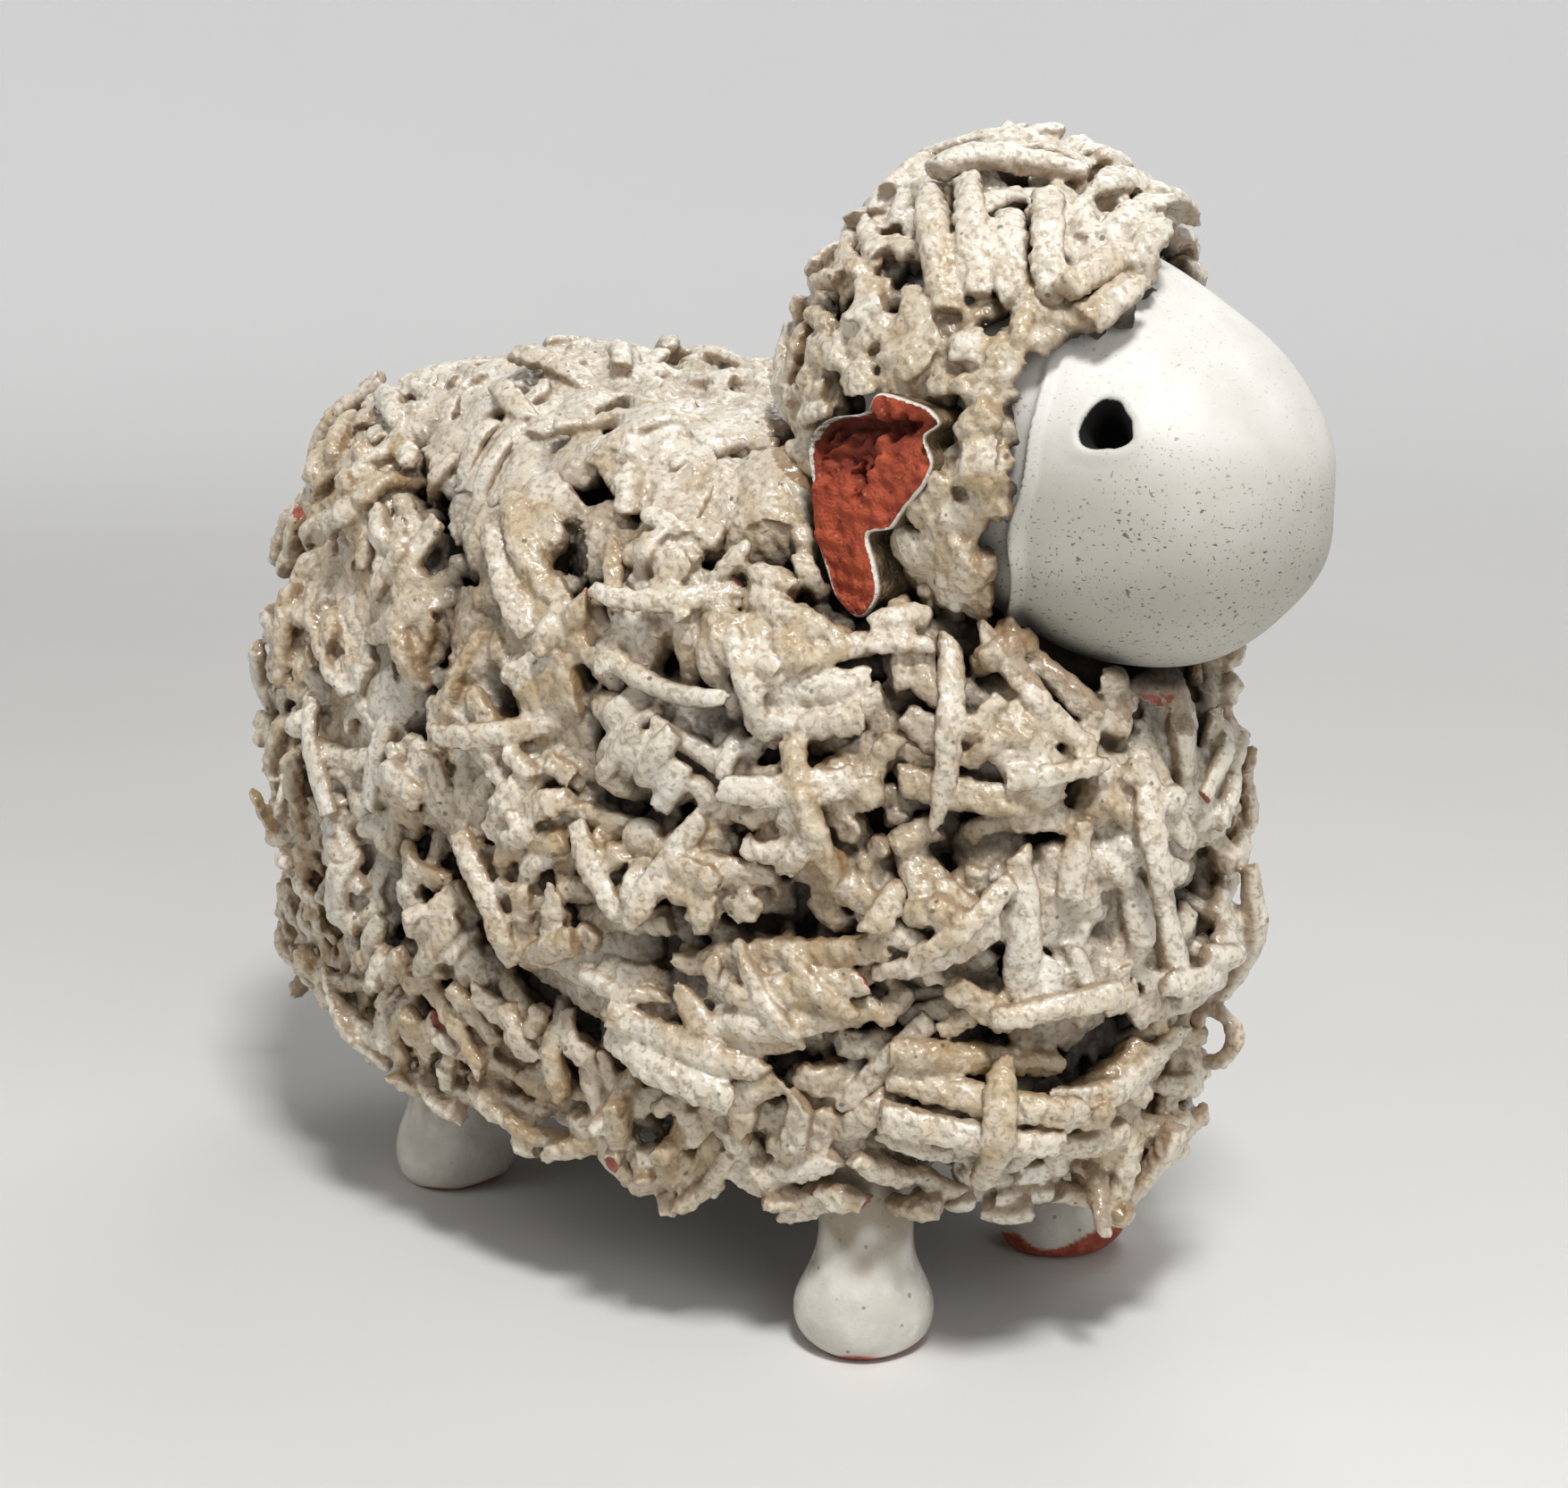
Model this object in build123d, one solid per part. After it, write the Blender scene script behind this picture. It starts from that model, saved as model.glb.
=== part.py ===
from build123d import *
import math
import os
import numpy as np

# A hand-built earthenware sheep. A hollow body and a hollow egg-shaped head are luted together,
# four stub legs are luted under the belly, and the fleece is laid on strand by strand
# from clay pressed through a sieve. Everything is fired into one rigid piece.
# Millimetres. The nose points along +X, the sheep's left side is +Y, and +Z is up.
# The origin is the middle of the footprint box, on the surface that the sheep stands on.

# Body: a closed pot, oval in plan and full at the belly, leaning forward a little
BODY_HALF_LENGTH = 44.2
BODY_HALF_WIDTH = 24.7
BODY_UPPER_REACH = 28.2
BODY_LOWER_REACH = 26.2
BODY_UPPER_FULLNESS = 3.1
BODY_LOWER_FULLNESS = 4.2
BODY_DROOP = 5.0
BODY_WALL = 5.0
BODY_HEIGHT = 42.0
BODY_SETBACK = 3.0
PROFILE_STEPS = 10

# Head: an egg with its narrow end forward and drooping
HEAD_RADIUS = 14.6
HEAD_REAR_REACH = 14.6
HEAD_NOSE_REACH = 27.0
HEAD_REAR_FULLNESS = 2.0
HEAD_NOSE_FULLNESS = 2.6
HEAD_DROOP = 23.0
HEAD_WALL = 4.0
HEAD_FORWARD = 28.7
HEAD_STAND = 7.5
FACE_EDGE = 10.5
FACE_CLEARANCE = 2.0

# Pierced eyes, and the vent that joins the two hollows so that steam can leave in the kiln
EYE_DIAMETER = 4.0
EYE_BEVEL = 0.6
EYE_STATION = 16.0
EYE_RISE = 28.0
VENT_DIAMETER = 7.0

# Legs: short stubs that swell into a rounded foot
WHEELBASE = 50.0
TRACK = 25.8
LEG_DIAMETER = 7.6
FOOT_DIAMETER = 10.8
SOLE_DIAMETER = 8.4
FOOT_SWELL_HEIGHT = 2.4
ANKLE_HEIGHT = 10.0
SOLE_FLARE = 22.0

# Ears: drop ears on a broad luted root; the right one is broken off at its root
EAR_STATION = 2.5
EAR_DROP = 15.0
EAR_ROOT_WIDTH = 12.0
EAR_ROOT_HEIGHT = 9.0
EAR_ROOT_RISE = 5.4
EAR_TONGUE_WIDTH = 5.5
EAR_TONGUE_LENGTH = 7.0
EAR_STANDOFF = 3.2
EAR_LENGTH = 18.0
EAR_WIDTH = 12.0
EAR_THICKNESS = 3.2
EAR_FLARE = 24.0
EAR_TIP_SETBACK = 2.0
EAR_EDGE_SHARE = 0.38

# Fleece: pressed clay strands in two layers, lying in every direction and often side by side
STRAND_DIAMETER = 2.6
BODY_STRANDS = (12.5, 10.0, 7.5, 5.0)
HEAD_STRANDS = (9.5, 7.5, 5.0)
STRAND_SEED = 11
BODY_TRIES = 3500
HEAD_TRIES = 1500
UPPER_TRIES = 1500
CROWN_TRIES = 600
SWING_STEPS = 4
BUNDLE_SIZE = 2
BUNDLE_PITCH = 1.03
BUNDLE_SPREAD = 0.1
BUNDLE_STAGGER = 1.5

# Fringe: strands that hang from the lower wall past the belly
FRINGE_HEIGHT = 10.5
FRINGE_RAGGEDNESS = 3.5
FRINGE_TOP_SLOPE = 0.25
FRINGE_FOOT_SLOPE = 0.66
FRINGE_LEAN = 0.06
FRINGE_BOW = 0.3
FRINGE_TRIES = 7000

# Where one lock of the fleece ends and the next begins
BACK_SLOPE = 0.7
END_SHARE = 0.78
FLANK_SHARE = 0.3
CROWN_SLOPE = 0.72
NAPE_SLOPE = 0.45

# Joints between pieces: a film of slip where clay meets clay
LUTE_GAP = 0.1
SEAT_GAP = 0.15
STRAND_GAP = 0.15
SEAT_WALL = 3.5


def unit(vectors):
    return vectors / np.linalg.norm(vectors, axis=-1, keepdims=True)


class PotForm:
    """A closed form with an elliptical section, swelling and closing along its own axis.

    Its axis is local Z, tilted about Y. The two reaches are how far it goes below and above its
    widest section, and a fullness of 2 is round, while more is boxier.
    Points are arrays with X, Y and Z last.
    """

    def __init__(self, centre, tilt, half_length, half_width, reaches, fullness):
        self.centre = np.array(centre)
        self.tilt = tilt
        sin, cos = math.sin(math.radians(tilt)), math.cos(math.radians(tilt))
        self.turn = np.array([[cos, 0, sin], [0, 1, 0], [-sin, 0, cos]])
        self.half_length = half_length
        self.half_width = half_width
        self.reaches = reaches
        self.fullness = fullness

    def to_world(self, local):
        return local @ self.turn.T

    def to_local(self, world):
        return (world - self.centre) @ self.turn

    def level(self, points):
        """About how far points are outside the surface, or inside it below 0, and the ways out."""
        x, y, z = np.moveaxis(self.to_local(points), -1, 0)
        power = np.where(z > 0, self.fullness[1], self.fullness[0])
        reach = np.where(z > 0, self.reaches[1], self.reaches[0])
        across = np.maximum(np.hypot(x / self.half_length, y / self.half_width), 1e-6)
        rise = np.abs(z) / reach
        pull = power * across ** (power - 2)
        slope = np.stack(
            [
                pull * x / self.half_length**2,
                pull * y / self.half_width**2,
                np.sign(z) * power * rise ** (power - 1) / reach,
            ],
            axis=-1,
        )
        steepness = np.linalg.norm(slope, axis=-1)
        return (across**power + rise**power - 1) / steepness, self.to_world(unit(slope))

    def drop_on(self, points):
        """The points of the surface beneath points near it, and the ways out there."""
        for _ in range(3):
            depth, out = self.level(points)
            points = points - out * depth[..., None]
        return points, out

    def height(self, points):
        """How far points are outside the surface, or inside it below 0."""
        feet, out = self.drop_on(points)
        return np.sum((points - feet) * out, axis=-1)

    def scatter(self, count, draw):
        """Spots strewn over the surface, and the ways out there."""
        sine = draw.uniform(-1, 1, count)
        longitude = draw.uniform(-math.pi, math.pi, count)
        upper = (sine > 0).astype(int)
        share = 2 / np.array(self.fullness)[upper]
        ring = (1 - sine**2) ** (share / 2)
        rise = np.sign(sine) * np.abs(sine) ** share * np.array(self.reaches)[upper]
        x = self.half_length * ring * np.cos(longitude)
        y = self.half_width * ring * np.sin(longitude)
        return self.drop_on(self.centre + self.to_world(np.stack([x, y, rise], axis=-1)))

    def solid(self, grow=0.0):
        """The whole form, grown by a clearance or shrunk by a wall."""
        radius = self.half_length + grow
        curves = []
        for side, sign in ((0, -1), (1, 1)):
            reach, share = self.reaches[side] + grow, 2 / self.fullness[side]
            angles = [math.pi / 2 * i / PROFILE_STEPS for i in range(PROFILE_STEPS)]
            points = [(radius * math.cos(a) ** share, sign * reach * math.sin(a) ** share) for a in angles]
            points.append((0, sign * reach))
            curves.append(Spline(*points, tangents=[(0, sign), (-1, 0)]))
        lower, upper = curves
        section = Plane.XZ * make_face([lower, upper, Line(lower @ 1, upper @ 1)])
        turned = revolve(section, axis=Axis.Z)
        squeeze = (self.half_width + grow) / radius
        if abs(squeeze - 1) > 1e-9:
            turned = scale(turned, by=(1, squeeze, 1))
        return Pos(*map(float, self.centre)) * Rot(0, self.tilt, 0) * turned


BODY = PotForm(
    (-BODY_SETBACK, 0, BODY_HEIGHT),
    BODY_DROOP,
    BODY_HALF_LENGTH,
    BODY_HALF_WIDTH,
    (BODY_LOWER_REACH, BODY_UPPER_REACH),
    (BODY_LOWER_FULLNESS, BODY_UPPER_FULLNESS),
)


def head_form():
    """The head stands over the shoulders, at a set height above the body's surface there."""
    share = HEAD_FORWARD / BODY_HALF_LENGTH
    rise = BODY_UPPER_REACH * (1 - share**BODY_UPPER_FULLNESS) ** (1 / BODY_UPPER_FULLNESS)
    shoulder = BODY.centre + BODY.to_world(np.array([HEAD_FORWARD, 0, rise]))
    return PotForm(
        shoulder + [0, 0, HEAD_STAND],
        90 + HEAD_DROOP,
        HEAD_RADIUS,
        HEAD_RADIUS,
        (HEAD_REAR_REACH, HEAD_NOSE_REACH),
        (HEAD_REAR_FULLNESS, HEAD_NOSE_FULLNESS),
    )


HEAD = head_form()
BODY_SEAT = BODY.solid(LUTE_GAP)
HEAD_SEAT = HEAD.solid(LUTE_GAP)

# Outline of the ear's root, about the middle of the root
EAR_REACH = HEAD_RADIUS + EAR_STANDOFF
ROOT_HALF = EAR_ROOT_WIDTH / 2
ROOT_TOP = EAR_ROOT_RISE
ROOT_LOW = ROOT_TOP - EAR_ROOT_HEIGHT
TONGUE_FRONT = EAR_TONGUE_WIDTH - ROOT_HALF
TONGUE_LOW = ROOT_LOW - EAR_TONGUE_LENGTH
TONGUE_ROUND = EAR_TONGUE_WIDTH / 4

# How a strand lies on a form and how close its neighbours come
STRAND_LIFT = STRAND_DIAMETER / 2 + SEAT_GAP
STRAND_REACH = STRAND_DIAMETER / 2 + STRAND_GAP
STRAND_STEP = STRAND_DIAMETER / 2
STRAND_SPACING = math.hypot(STRAND_DIAMETER + STRAND_GAP, STRAND_STEP / math.sqrt(2))


def head_point(station, rise, side):
    """A point on the head's surface, by its distance along the nose axis and an angle above the side."""
    angle = math.radians(rise)
    beside = [-math.sin(angle) * HEAD_RADIUS, side * math.cos(angle) * HEAD_RADIUS, station]
    return HEAD.drop_on(HEAD.centre + HEAD.to_world(np.array(beside)))


def vent():
    """The hole pierced from the head's hollow down into the body's."""
    path = Vector(*(BODY.centre - HEAD.centre))
    line = Plane(origin=Vector(*HEAD.centre), z_dir=path)
    return line * Cylinder(VENT_DIAMETER / 2, path.length, align=(Align.CENTER, Align.CENTER, Align.MIN))


def make_body():
    """Hollow body with a dished seat for the head and the vent through it."""
    hollow = BODY.solid(-BODY_WALL) - HEAD.solid(SEAT_WALL)
    return BODY.solid() - hollow - HEAD_SEAT - vent()


def eye_cutter(side):
    """One pierced eye: a straight hole with a bevelled rim, square to the face."""
    spot, out = head_point(EYE_STATION, EYE_RISE, side)
    plane = Plane(origin=Vector(*spot), z_dir=Vector(*out))
    depth = HEAD_WALL * 2
    hole = Pos(0, 0, -depth / 2 + EYE_BEVEL) * Cylinder(EYE_DIAMETER / 2, depth)
    rim = Cone(EYE_DIAMETER / 2, EYE_DIAMETER / 2 + 2 * EYE_BEVEL, 2 * EYE_BEVEL)
    return plane * (hole + rim)


def make_head():
    """Hollow egg with two pierced eyes and the vent in its underside."""
    egg = HEAD.solid() - HEAD.solid(-HEAD_WALL) - vent()
    for side in (-1, 1):
        egg -= eye_cutter(side)
    return egg


def leg_centre(front, side):
    return front * WHEELBASE / 2, side * TRACK / 2


def make_leg(front, side):
    """A turned stub with a flat sole and a swollen foot, cut to the belly that it is luted to."""
    top = BODY_HEIGHT
    sole, foot, shank = SOLE_DIAMETER / 2, FOOT_DIAMETER / 2, LEG_DIAMETER / 2
    flare = math.radians(SOLE_FLARE)
    toe = Spline(
        (sole, 0),
        (foot, FOOT_SWELL_HEIGHT),
        (shank, ANKLE_HEIGHT),
        tangents=[(math.cos(flare), math.sin(flare)), (0, 1)],
    )
    outline = [
        Line((0, 0), (sole, 0)),
        toe,
        Line((shank, ANKLE_HEIGHT), (shank, top)),
        Line((shank, top), (0, top)),
        Line((0, top), (0, 0)),
    ]
    stub = revolve(Plane.XZ * make_face(outline), axis=Axis.Z)
    return Pos(*leg_centre(front, side)) * stub - BODY_SEAT


def ear_place():
    """The right ear's root: X forward, Y up and Z outwards, on the head's side."""
    spot, _ = head_point(EAR_STATION, -EAR_DROP, -1)
    return Plane(origin=(float(spot[0]), 0, float(spot[2])), x_dir=(1, 0, 0), z_dir=(0, -1, 0))


EAR = ear_place()


def ear_root(with_tongue):
    """The luted root: a broad lobe standing out through the wool, with a tongue below it."""
    outline = [
        ThreePointArc((-ROOT_HALF, ROOT_LOW), (0, ROOT_TOP), (ROOT_HALF, ROOT_LOW / 2)),
        ThreePointArc((ROOT_HALF, ROOT_LOW / 2), (ROOT_HALF / 2, ROOT_LOW), (TONGUE_FRONT, ROOT_LOW)),
    ]
    if with_tongue:
        middle = (TONGUE_FRONT - ROOT_HALF) / 2
        outline += [
            Line((TONGUE_FRONT, ROOT_LOW), (TONGUE_FRONT, TONGUE_LOW)),
            ThreePointArc(
                (TONGUE_FRONT, TONGUE_LOW), (middle, TONGUE_LOW - TONGUE_ROUND), (-ROOT_HALF, TONGUE_LOW)
            ),
            Line((-ROOT_HALF, TONGUE_LOW), (-ROOT_HALF, ROOT_LOW)),
        ]
    else:
        outline.append(Line((TONGUE_FRONT, ROOT_LOW), (-ROOT_HALF, ROOT_LOW)))
    block = extrude(EAR * make_face(outline), EAR_REACH)
    return block - HEAD_SEAT - BODY_SEAT


def ear_leaf():
    """The hanging leaf of a whole ear, swung outwards about the middle of its root."""
    half = EAR_WIDTH / 2
    tip = (-EAR_TIP_SETBACK, ROOT_TOP - EAR_LENGTH)
    waist = (ROOT_TOP - EAR_LENGTH) / 2
    outline = [
        ThreePointArc((-half, 0), (0, ROOT_TOP), (half, 0)),
        ThreePointArc((half, 0), (half - EAR_TIP_SETBACK / 2, waist), tip),
        ThreePointArc(tip, (-half, waist), (-half, 0)),
    ]
    leaf = extrude(make_face(outline), EAR_THICKNESS)
    leaf = fillet(leaf.edges(), EAR_EDGE_SHARE * EAR_THICKNESS)
    return EAR * (Pos(0, 0, EAR_REACH) * Rot(-EAR_FLARE, 0, 0) * leaf)


def make_left_ear():
    """The whole ear: root and leaf in one piece of clay, mirrored to the left side."""
    return mirror(ear_root(False) + ear_leaf(), about=Plane.XZ)


class Fleece:
    """The strands laid so far, by node, with points along all of them to keep new ones clear."""

    def __init__(self):
        self.points = np.empty((0, 3))
        self.nodes = {}

    def nearest(self, points):
        """Each point's distance to the nearest strand's middle line."""
        if not len(self.points):
            return np.full(len(points), np.inf)
        apart = points[:, None, :] - self.points[None, :, :]
        return np.sqrt(np.min(np.einsum("ijk,ijk->ij", apart, apart), axis=1))

    def rests(self, line):
        """True if both halves of a line lie on strands below."""
        touches = self.nearest(along(line)) < STRAND_SPACING + SEAT_GAP
        half = len(touches) // 2
        return touches[:half].any() and touches[half:].any()

    def lay(self, form, node, line):
        """Keep a strand if its whole line is clear of the others and of the other pieces."""
        points = along(line)
        if self.nearest(points).min() < STRAND_SPACING or not is_free(form, points).all():
            return False
        self.points = np.concatenate([self.points, points])
        self.nodes.setdefault(node, []).append(line)
        return True


def along(line):
    """Points spaced along the curve through a strand's start, middle and end."""
    start, middle, end = line
    count = math.ceil(np.linalg.norm(end - start) / STRAND_STEP)
    t = np.linspace(0, 1, count + 1)[:, None]
    return start * ((1 - t) * (1 - 2 * t)) + middle * (4 * t * (1 - t)) + end * (t * (2 * t - 1))


def misses_legs(points):
    """True where a strand stays off the legs."""
    width = np.where(points[:, 2] < ANKLE_HEIGHT, FOOT_DIAMETER, LEG_DIAMETER)
    clear = np.full(len(points), True)
    for front in (-1, 1):
        for side in (-1, 1):
            apart = np.linalg.norm(points[:, :2] - leg_centre(front, side), axis=1)
            clear &= apart > width / 2 + STRAND_REACH
    return clear


def misses_ears(points):
    """True where a strand stays off the broken root on the right and the whole ear on the left."""
    forward = points[:, 0] - EAR.origin.X
    rise = points[:, 2] - EAR.origin.Z
    depth = np.abs(points[:, 1])
    in_reach = depth < EAR_REACH + STRAND_REACH
    lobe = in_reach & (np.abs(forward) < ROOT_HALF + STRAND_REACH)
    lobe &= (rise > ROOT_LOW - STRAND_REACH) & (rise < ROOT_TOP + STRAND_REACH)
    tongue = in_reach & (points[:, 1] < 0) & (rise < ROOT_LOW)
    tongue &= (forward > -ROOT_HALF - STRAND_REACH) & (forward < TONGUE_FRONT + STRAND_REACH)
    tongue &= rise > TONGUE_LOW - TONGUE_ROUND - STRAND_REACH
    leaf = (points[:, 1] > 0) & (np.abs(forward) < EAR_WIDTH / 2 + STRAND_REACH)
    leaf &= (rise > ROOT_TOP - EAR_LENGTH - STRAND_REACH) & (rise < ROOT_TOP + STRAND_REACH)
    swing = math.tan(math.radians(EAR_FLARE))
    leaf &= np.abs(depth - EAR_REACH + rise * swing) < 2 * EAR_THICKNESS
    return ~(lobe | tongue | leaf)


def is_free(form, points):
    """True where a strand on a form is off the face and clear of all pieces but its neighbours."""
    off_head = HEAD.height(points)
    covers_face = HEAD.to_local(points)[:, 2] > FACE_EDGE
    if form is BODY:
        covers_face &= off_head < FACE_CLEARANCE
    sunk = np.minimum(BODY.height(points), off_head) < STRAND_DIAMETER / 2
    return ~(covers_face | sunk) & misses_ears(points) & misses_legs(points)


def tangent(out, heading, swing=0.0):
    """A heading laid into the surface and turned about the way out."""
    flat = unit(heading - out * (heading @ out))
    return flat * math.cos(swing) + np.cross(out, flat) * math.sin(swing)


def lying_line(form, spot, out, heading, length, lift):
    """A strand's line on a form: ends and middle dropped on the surface, then lifted off it."""
    feet, away = form.drop_on(spot + heading * np.array([[-length / 2], [0], [length / 2]]))
    line = feet + away * lift
    return line + out * (lift - form.height(along(line)).min())


def hanging_line(spot, out, draw):
    """A fringe strand: luted to the lower wall at its top and hanging clear below."""
    start = spot + out * STRAND_LIFT
    level = unit(out * [1, 1, 0])
    low = FRINGE_HEIGHT + draw.uniform(0, FRINGE_RAGGEDNESS)
    end = start * [1, 1, 0] + [0, 0, low] + level * (FRINGE_LEAN * (start[2] - low))
    return np.array([start, (start + end) / 2 + level * FRINGE_BOW, end])


def body_node(spot, out):
    """Which lock of the fleece a strand on the body belongs to."""
    side = "right" if spot[1] < 0 else "left"
    place = (spot[0] + BODY_SETBACK) / BODY_HALF_LENGTH
    if out[2] > BACK_SLOPE:
        return "wool_back"
    if abs(place) > END_SHARE:
        return "wool_chest" if place > 0 else "wool_rump"
    if abs(place) > FLANK_SHARE:
        return f"wool_shoulder_{side}" if place > 0 else f"wool_haunch_{side}"
    return f"wool_flank_{side}"


def fringe_node(spot):
    """Which stretch of the fringe a hanging strand belongs to."""
    place = (spot[0] + BODY_SETBACK) / BODY_HALF_LENGTH
    if abs(place) > END_SHARE:
        return "fringe_front" if place > 0 else "fringe_rear"
    return "fringe_right" if spot[1] < 0 else "fringe_left"


def head_node(spot, out):
    """Which lock of the fleece a strand on the head belongs to."""
    if out[2] > CROWN_SLOPE:
        return "wool_topknot"
    if out[0] < -NAPE_SLOPE:
        return "wool_nape"
    return "wool_cheek_right" if spot[1] < 0 else "wool_cheek_left"


def random_heading(out, draw):
    return tangent(out, draw.normal(size=3))


def lay_bundle(fleece, form, node, spot, out, length, draw):
    """Lay one strand, turned about until it finds room, and then neighbours on both sides of it."""
    heading = random_heading(out, draw)
    for _ in range(SWING_STEPS):
        if fleece.lay(form, node, lying_line(form, spot, out, heading, length, STRAND_LIFT)):
            break
        heading = tangent(out, heading, math.pi / SWING_STEPS)
    else:
        return
    for side in (-1, 1):
        for step in range(1, BUNDLE_SIZE + 1):
            across = np.cross(out, heading) * (side * step * STRAND_SPACING * BUNDLE_PITCH)
            stagger = heading * draw.uniform(-BUNDLE_STAGGER, BUNDLE_STAGGER)
            beside, away = form.drop_on(spot + across + stagger)
            spread = draw.uniform(-BUNDLE_SPREAD, BUNDLE_SPREAD)
            for swing in (spread, -spread, 0):
                line = lying_line(form, beside, away, tangent(away, heading, swing), length, STRAND_LIFT)
                if fleece.lay(form, node, line):
                    break


def lay_under_layer(fleece, form, lengths, node_of, tries, draw):
    """Bundles at random on a form, long strands first, wherever the wool grows and there is room."""
    for length in lengths:
        for spot, out in zip(*form.scatter(tries, draw)):
            above = (spot + out * STRAND_LIFT)[None, :]
            is_open = fleece.nearest(above)[0] > STRAND_SPACING and is_free(form, above)[0]
            if out[2] > -FRINGE_TOP_SLOPE and is_open:
                lay_bundle(fleece, form, node_of(spot, out), spot, out, length, draw)


def lay_upper_layer(fleece, form, lengths, node_of, tries, lowest, draw):
    """Strands that lie across the ones below them, held at both ends."""
    lift = STRAND_LIFT + STRAND_SPACING
    for length in lengths:
        for spot, out in zip(*form.scatter(tries, draw)):
            if out[2] < lowest or fleece.nearest((spot + out * lift)[None, :])[0] < STRAND_SPACING:
                continue
            line = lying_line(form, spot, out, random_heading(out, draw), length, lift)
            if fleece.rests(line):
                fleece.lay(form, node_of(spot, out), line)


def lay_fringe(fleece, draw):
    """Strands around the lower wall, hanging down past the belly."""
    for spot, out in zip(*BODY.scatter(FRINGE_TRIES, draw)):
        if -FRINGE_FOOT_SLOPE < out[2] < -FRINGE_TOP_SLOPE:
            fleece.lay(BODY, fringe_node(spot), hanging_line(spot, out, draw))


def lay_fleece():
    """All the strands: the fringe first, then an under-layer and an upper layer on head and body."""
    draw = np.random.default_rng(STRAND_SEED)
    fleece = Fleece()
    lay_fringe(fleece, draw)
    lay_under_layer(fleece, HEAD, HEAD_STRANDS, head_node, HEAD_TRIES, draw)
    lay_under_layer(fleece, BODY, BODY_STRANDS, body_node, BODY_TRIES, draw)
    lay_upper_layer(fleece, HEAD, HEAD_STRANDS, head_node, CROWN_TRIES, CROWN_SLOPE, draw)
    lay_upper_layer(fleece, BODY, BODY_STRANDS, body_node, UPPER_TRIES, -FRINGE_TOP_SLOPE, draw)
    return fleece.nodes


def strand(line):
    """One pressed strand: a round coil along an arc, with plain cut ends."""
    path = ThreePointArc(*(Vector(*point) for point in line))
    section = Plane(origin=path @ 0, z_dir=path % 0) * Circle(STRAND_DIAMETER / 2)
    return sweep(section, path=path)


PARTS = {
    "body_shell": make_body(),
    "head_shell": make_head(),
    "leg_front_right": make_leg(1, -1),
    "leg_front_left": make_leg(1, 1),
    "leg_rear_right": make_leg(-1, -1),
    "leg_rear_left": make_leg(-1, 1),
    "ear_root_right": ear_root(True),
    "ear_left": make_left_ear(),
}
for node, lines in lay_fleece().items():
    PARTS[node] = Compound([strand(line).solid() for line in lines])

box = Compound(list(PARTS.values())).bounding_box()
shift = Pos(-box.center().X, -box.center().Y, -box.min.Z)
os.makedirs("parts", exist_ok=True)
for node, shape in PARTS.items():
    export_step(shift * shape, f"parts/{node}.step")
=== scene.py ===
import math

import bpy
import numpy as np
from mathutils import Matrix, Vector
from mathutils.bvhtree import BVHTree
from mathutils.kdtree import KDTree


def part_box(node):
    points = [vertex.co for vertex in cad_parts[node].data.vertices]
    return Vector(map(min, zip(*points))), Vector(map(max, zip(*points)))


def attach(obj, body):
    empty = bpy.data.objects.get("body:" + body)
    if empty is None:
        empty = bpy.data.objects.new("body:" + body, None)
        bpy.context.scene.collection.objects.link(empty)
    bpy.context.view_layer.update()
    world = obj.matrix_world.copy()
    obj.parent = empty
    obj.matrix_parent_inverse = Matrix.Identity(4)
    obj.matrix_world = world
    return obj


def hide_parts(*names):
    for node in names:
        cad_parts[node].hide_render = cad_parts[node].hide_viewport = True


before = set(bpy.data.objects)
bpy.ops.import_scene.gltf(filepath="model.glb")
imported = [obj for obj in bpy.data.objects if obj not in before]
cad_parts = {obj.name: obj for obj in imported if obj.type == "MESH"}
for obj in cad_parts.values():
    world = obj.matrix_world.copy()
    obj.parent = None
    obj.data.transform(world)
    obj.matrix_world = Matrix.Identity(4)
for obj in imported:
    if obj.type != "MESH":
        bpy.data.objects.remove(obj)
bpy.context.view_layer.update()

# Body pot: a closed oval pot of red earthenware that carries everything else.
# It was pinched and paddled by hand, and it only shows as the floor of the gaps
# between the strands, under a thin brown skin of glaze painted near black as the shade there.
MM = 0.001
BODY_HALF_LENGTH = 44.2
BODY_HALF_WIDTH = 24.7
BODY_REACHES = (26.2, 28.2)
BODY_FULLNESS = (4.2, 3.1)
BODY_DROOP = 5.0
BODY_SETBACK = 3.0
BODY_HEIGHT = 42.0
BODY_STEPS = 70
BODY_HUMP_SIZE = 9.0
BODY_HUMP_HEIGHT = 0.35
WAVES = 14
LEGS = ("leg_front_right", "leg_front_left", "leg_rear_right", "leg_rear_left")


def unit(vectors):
    return vectors / np.linalg.norm(vectors, axis=-1, keepdims=True)


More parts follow.
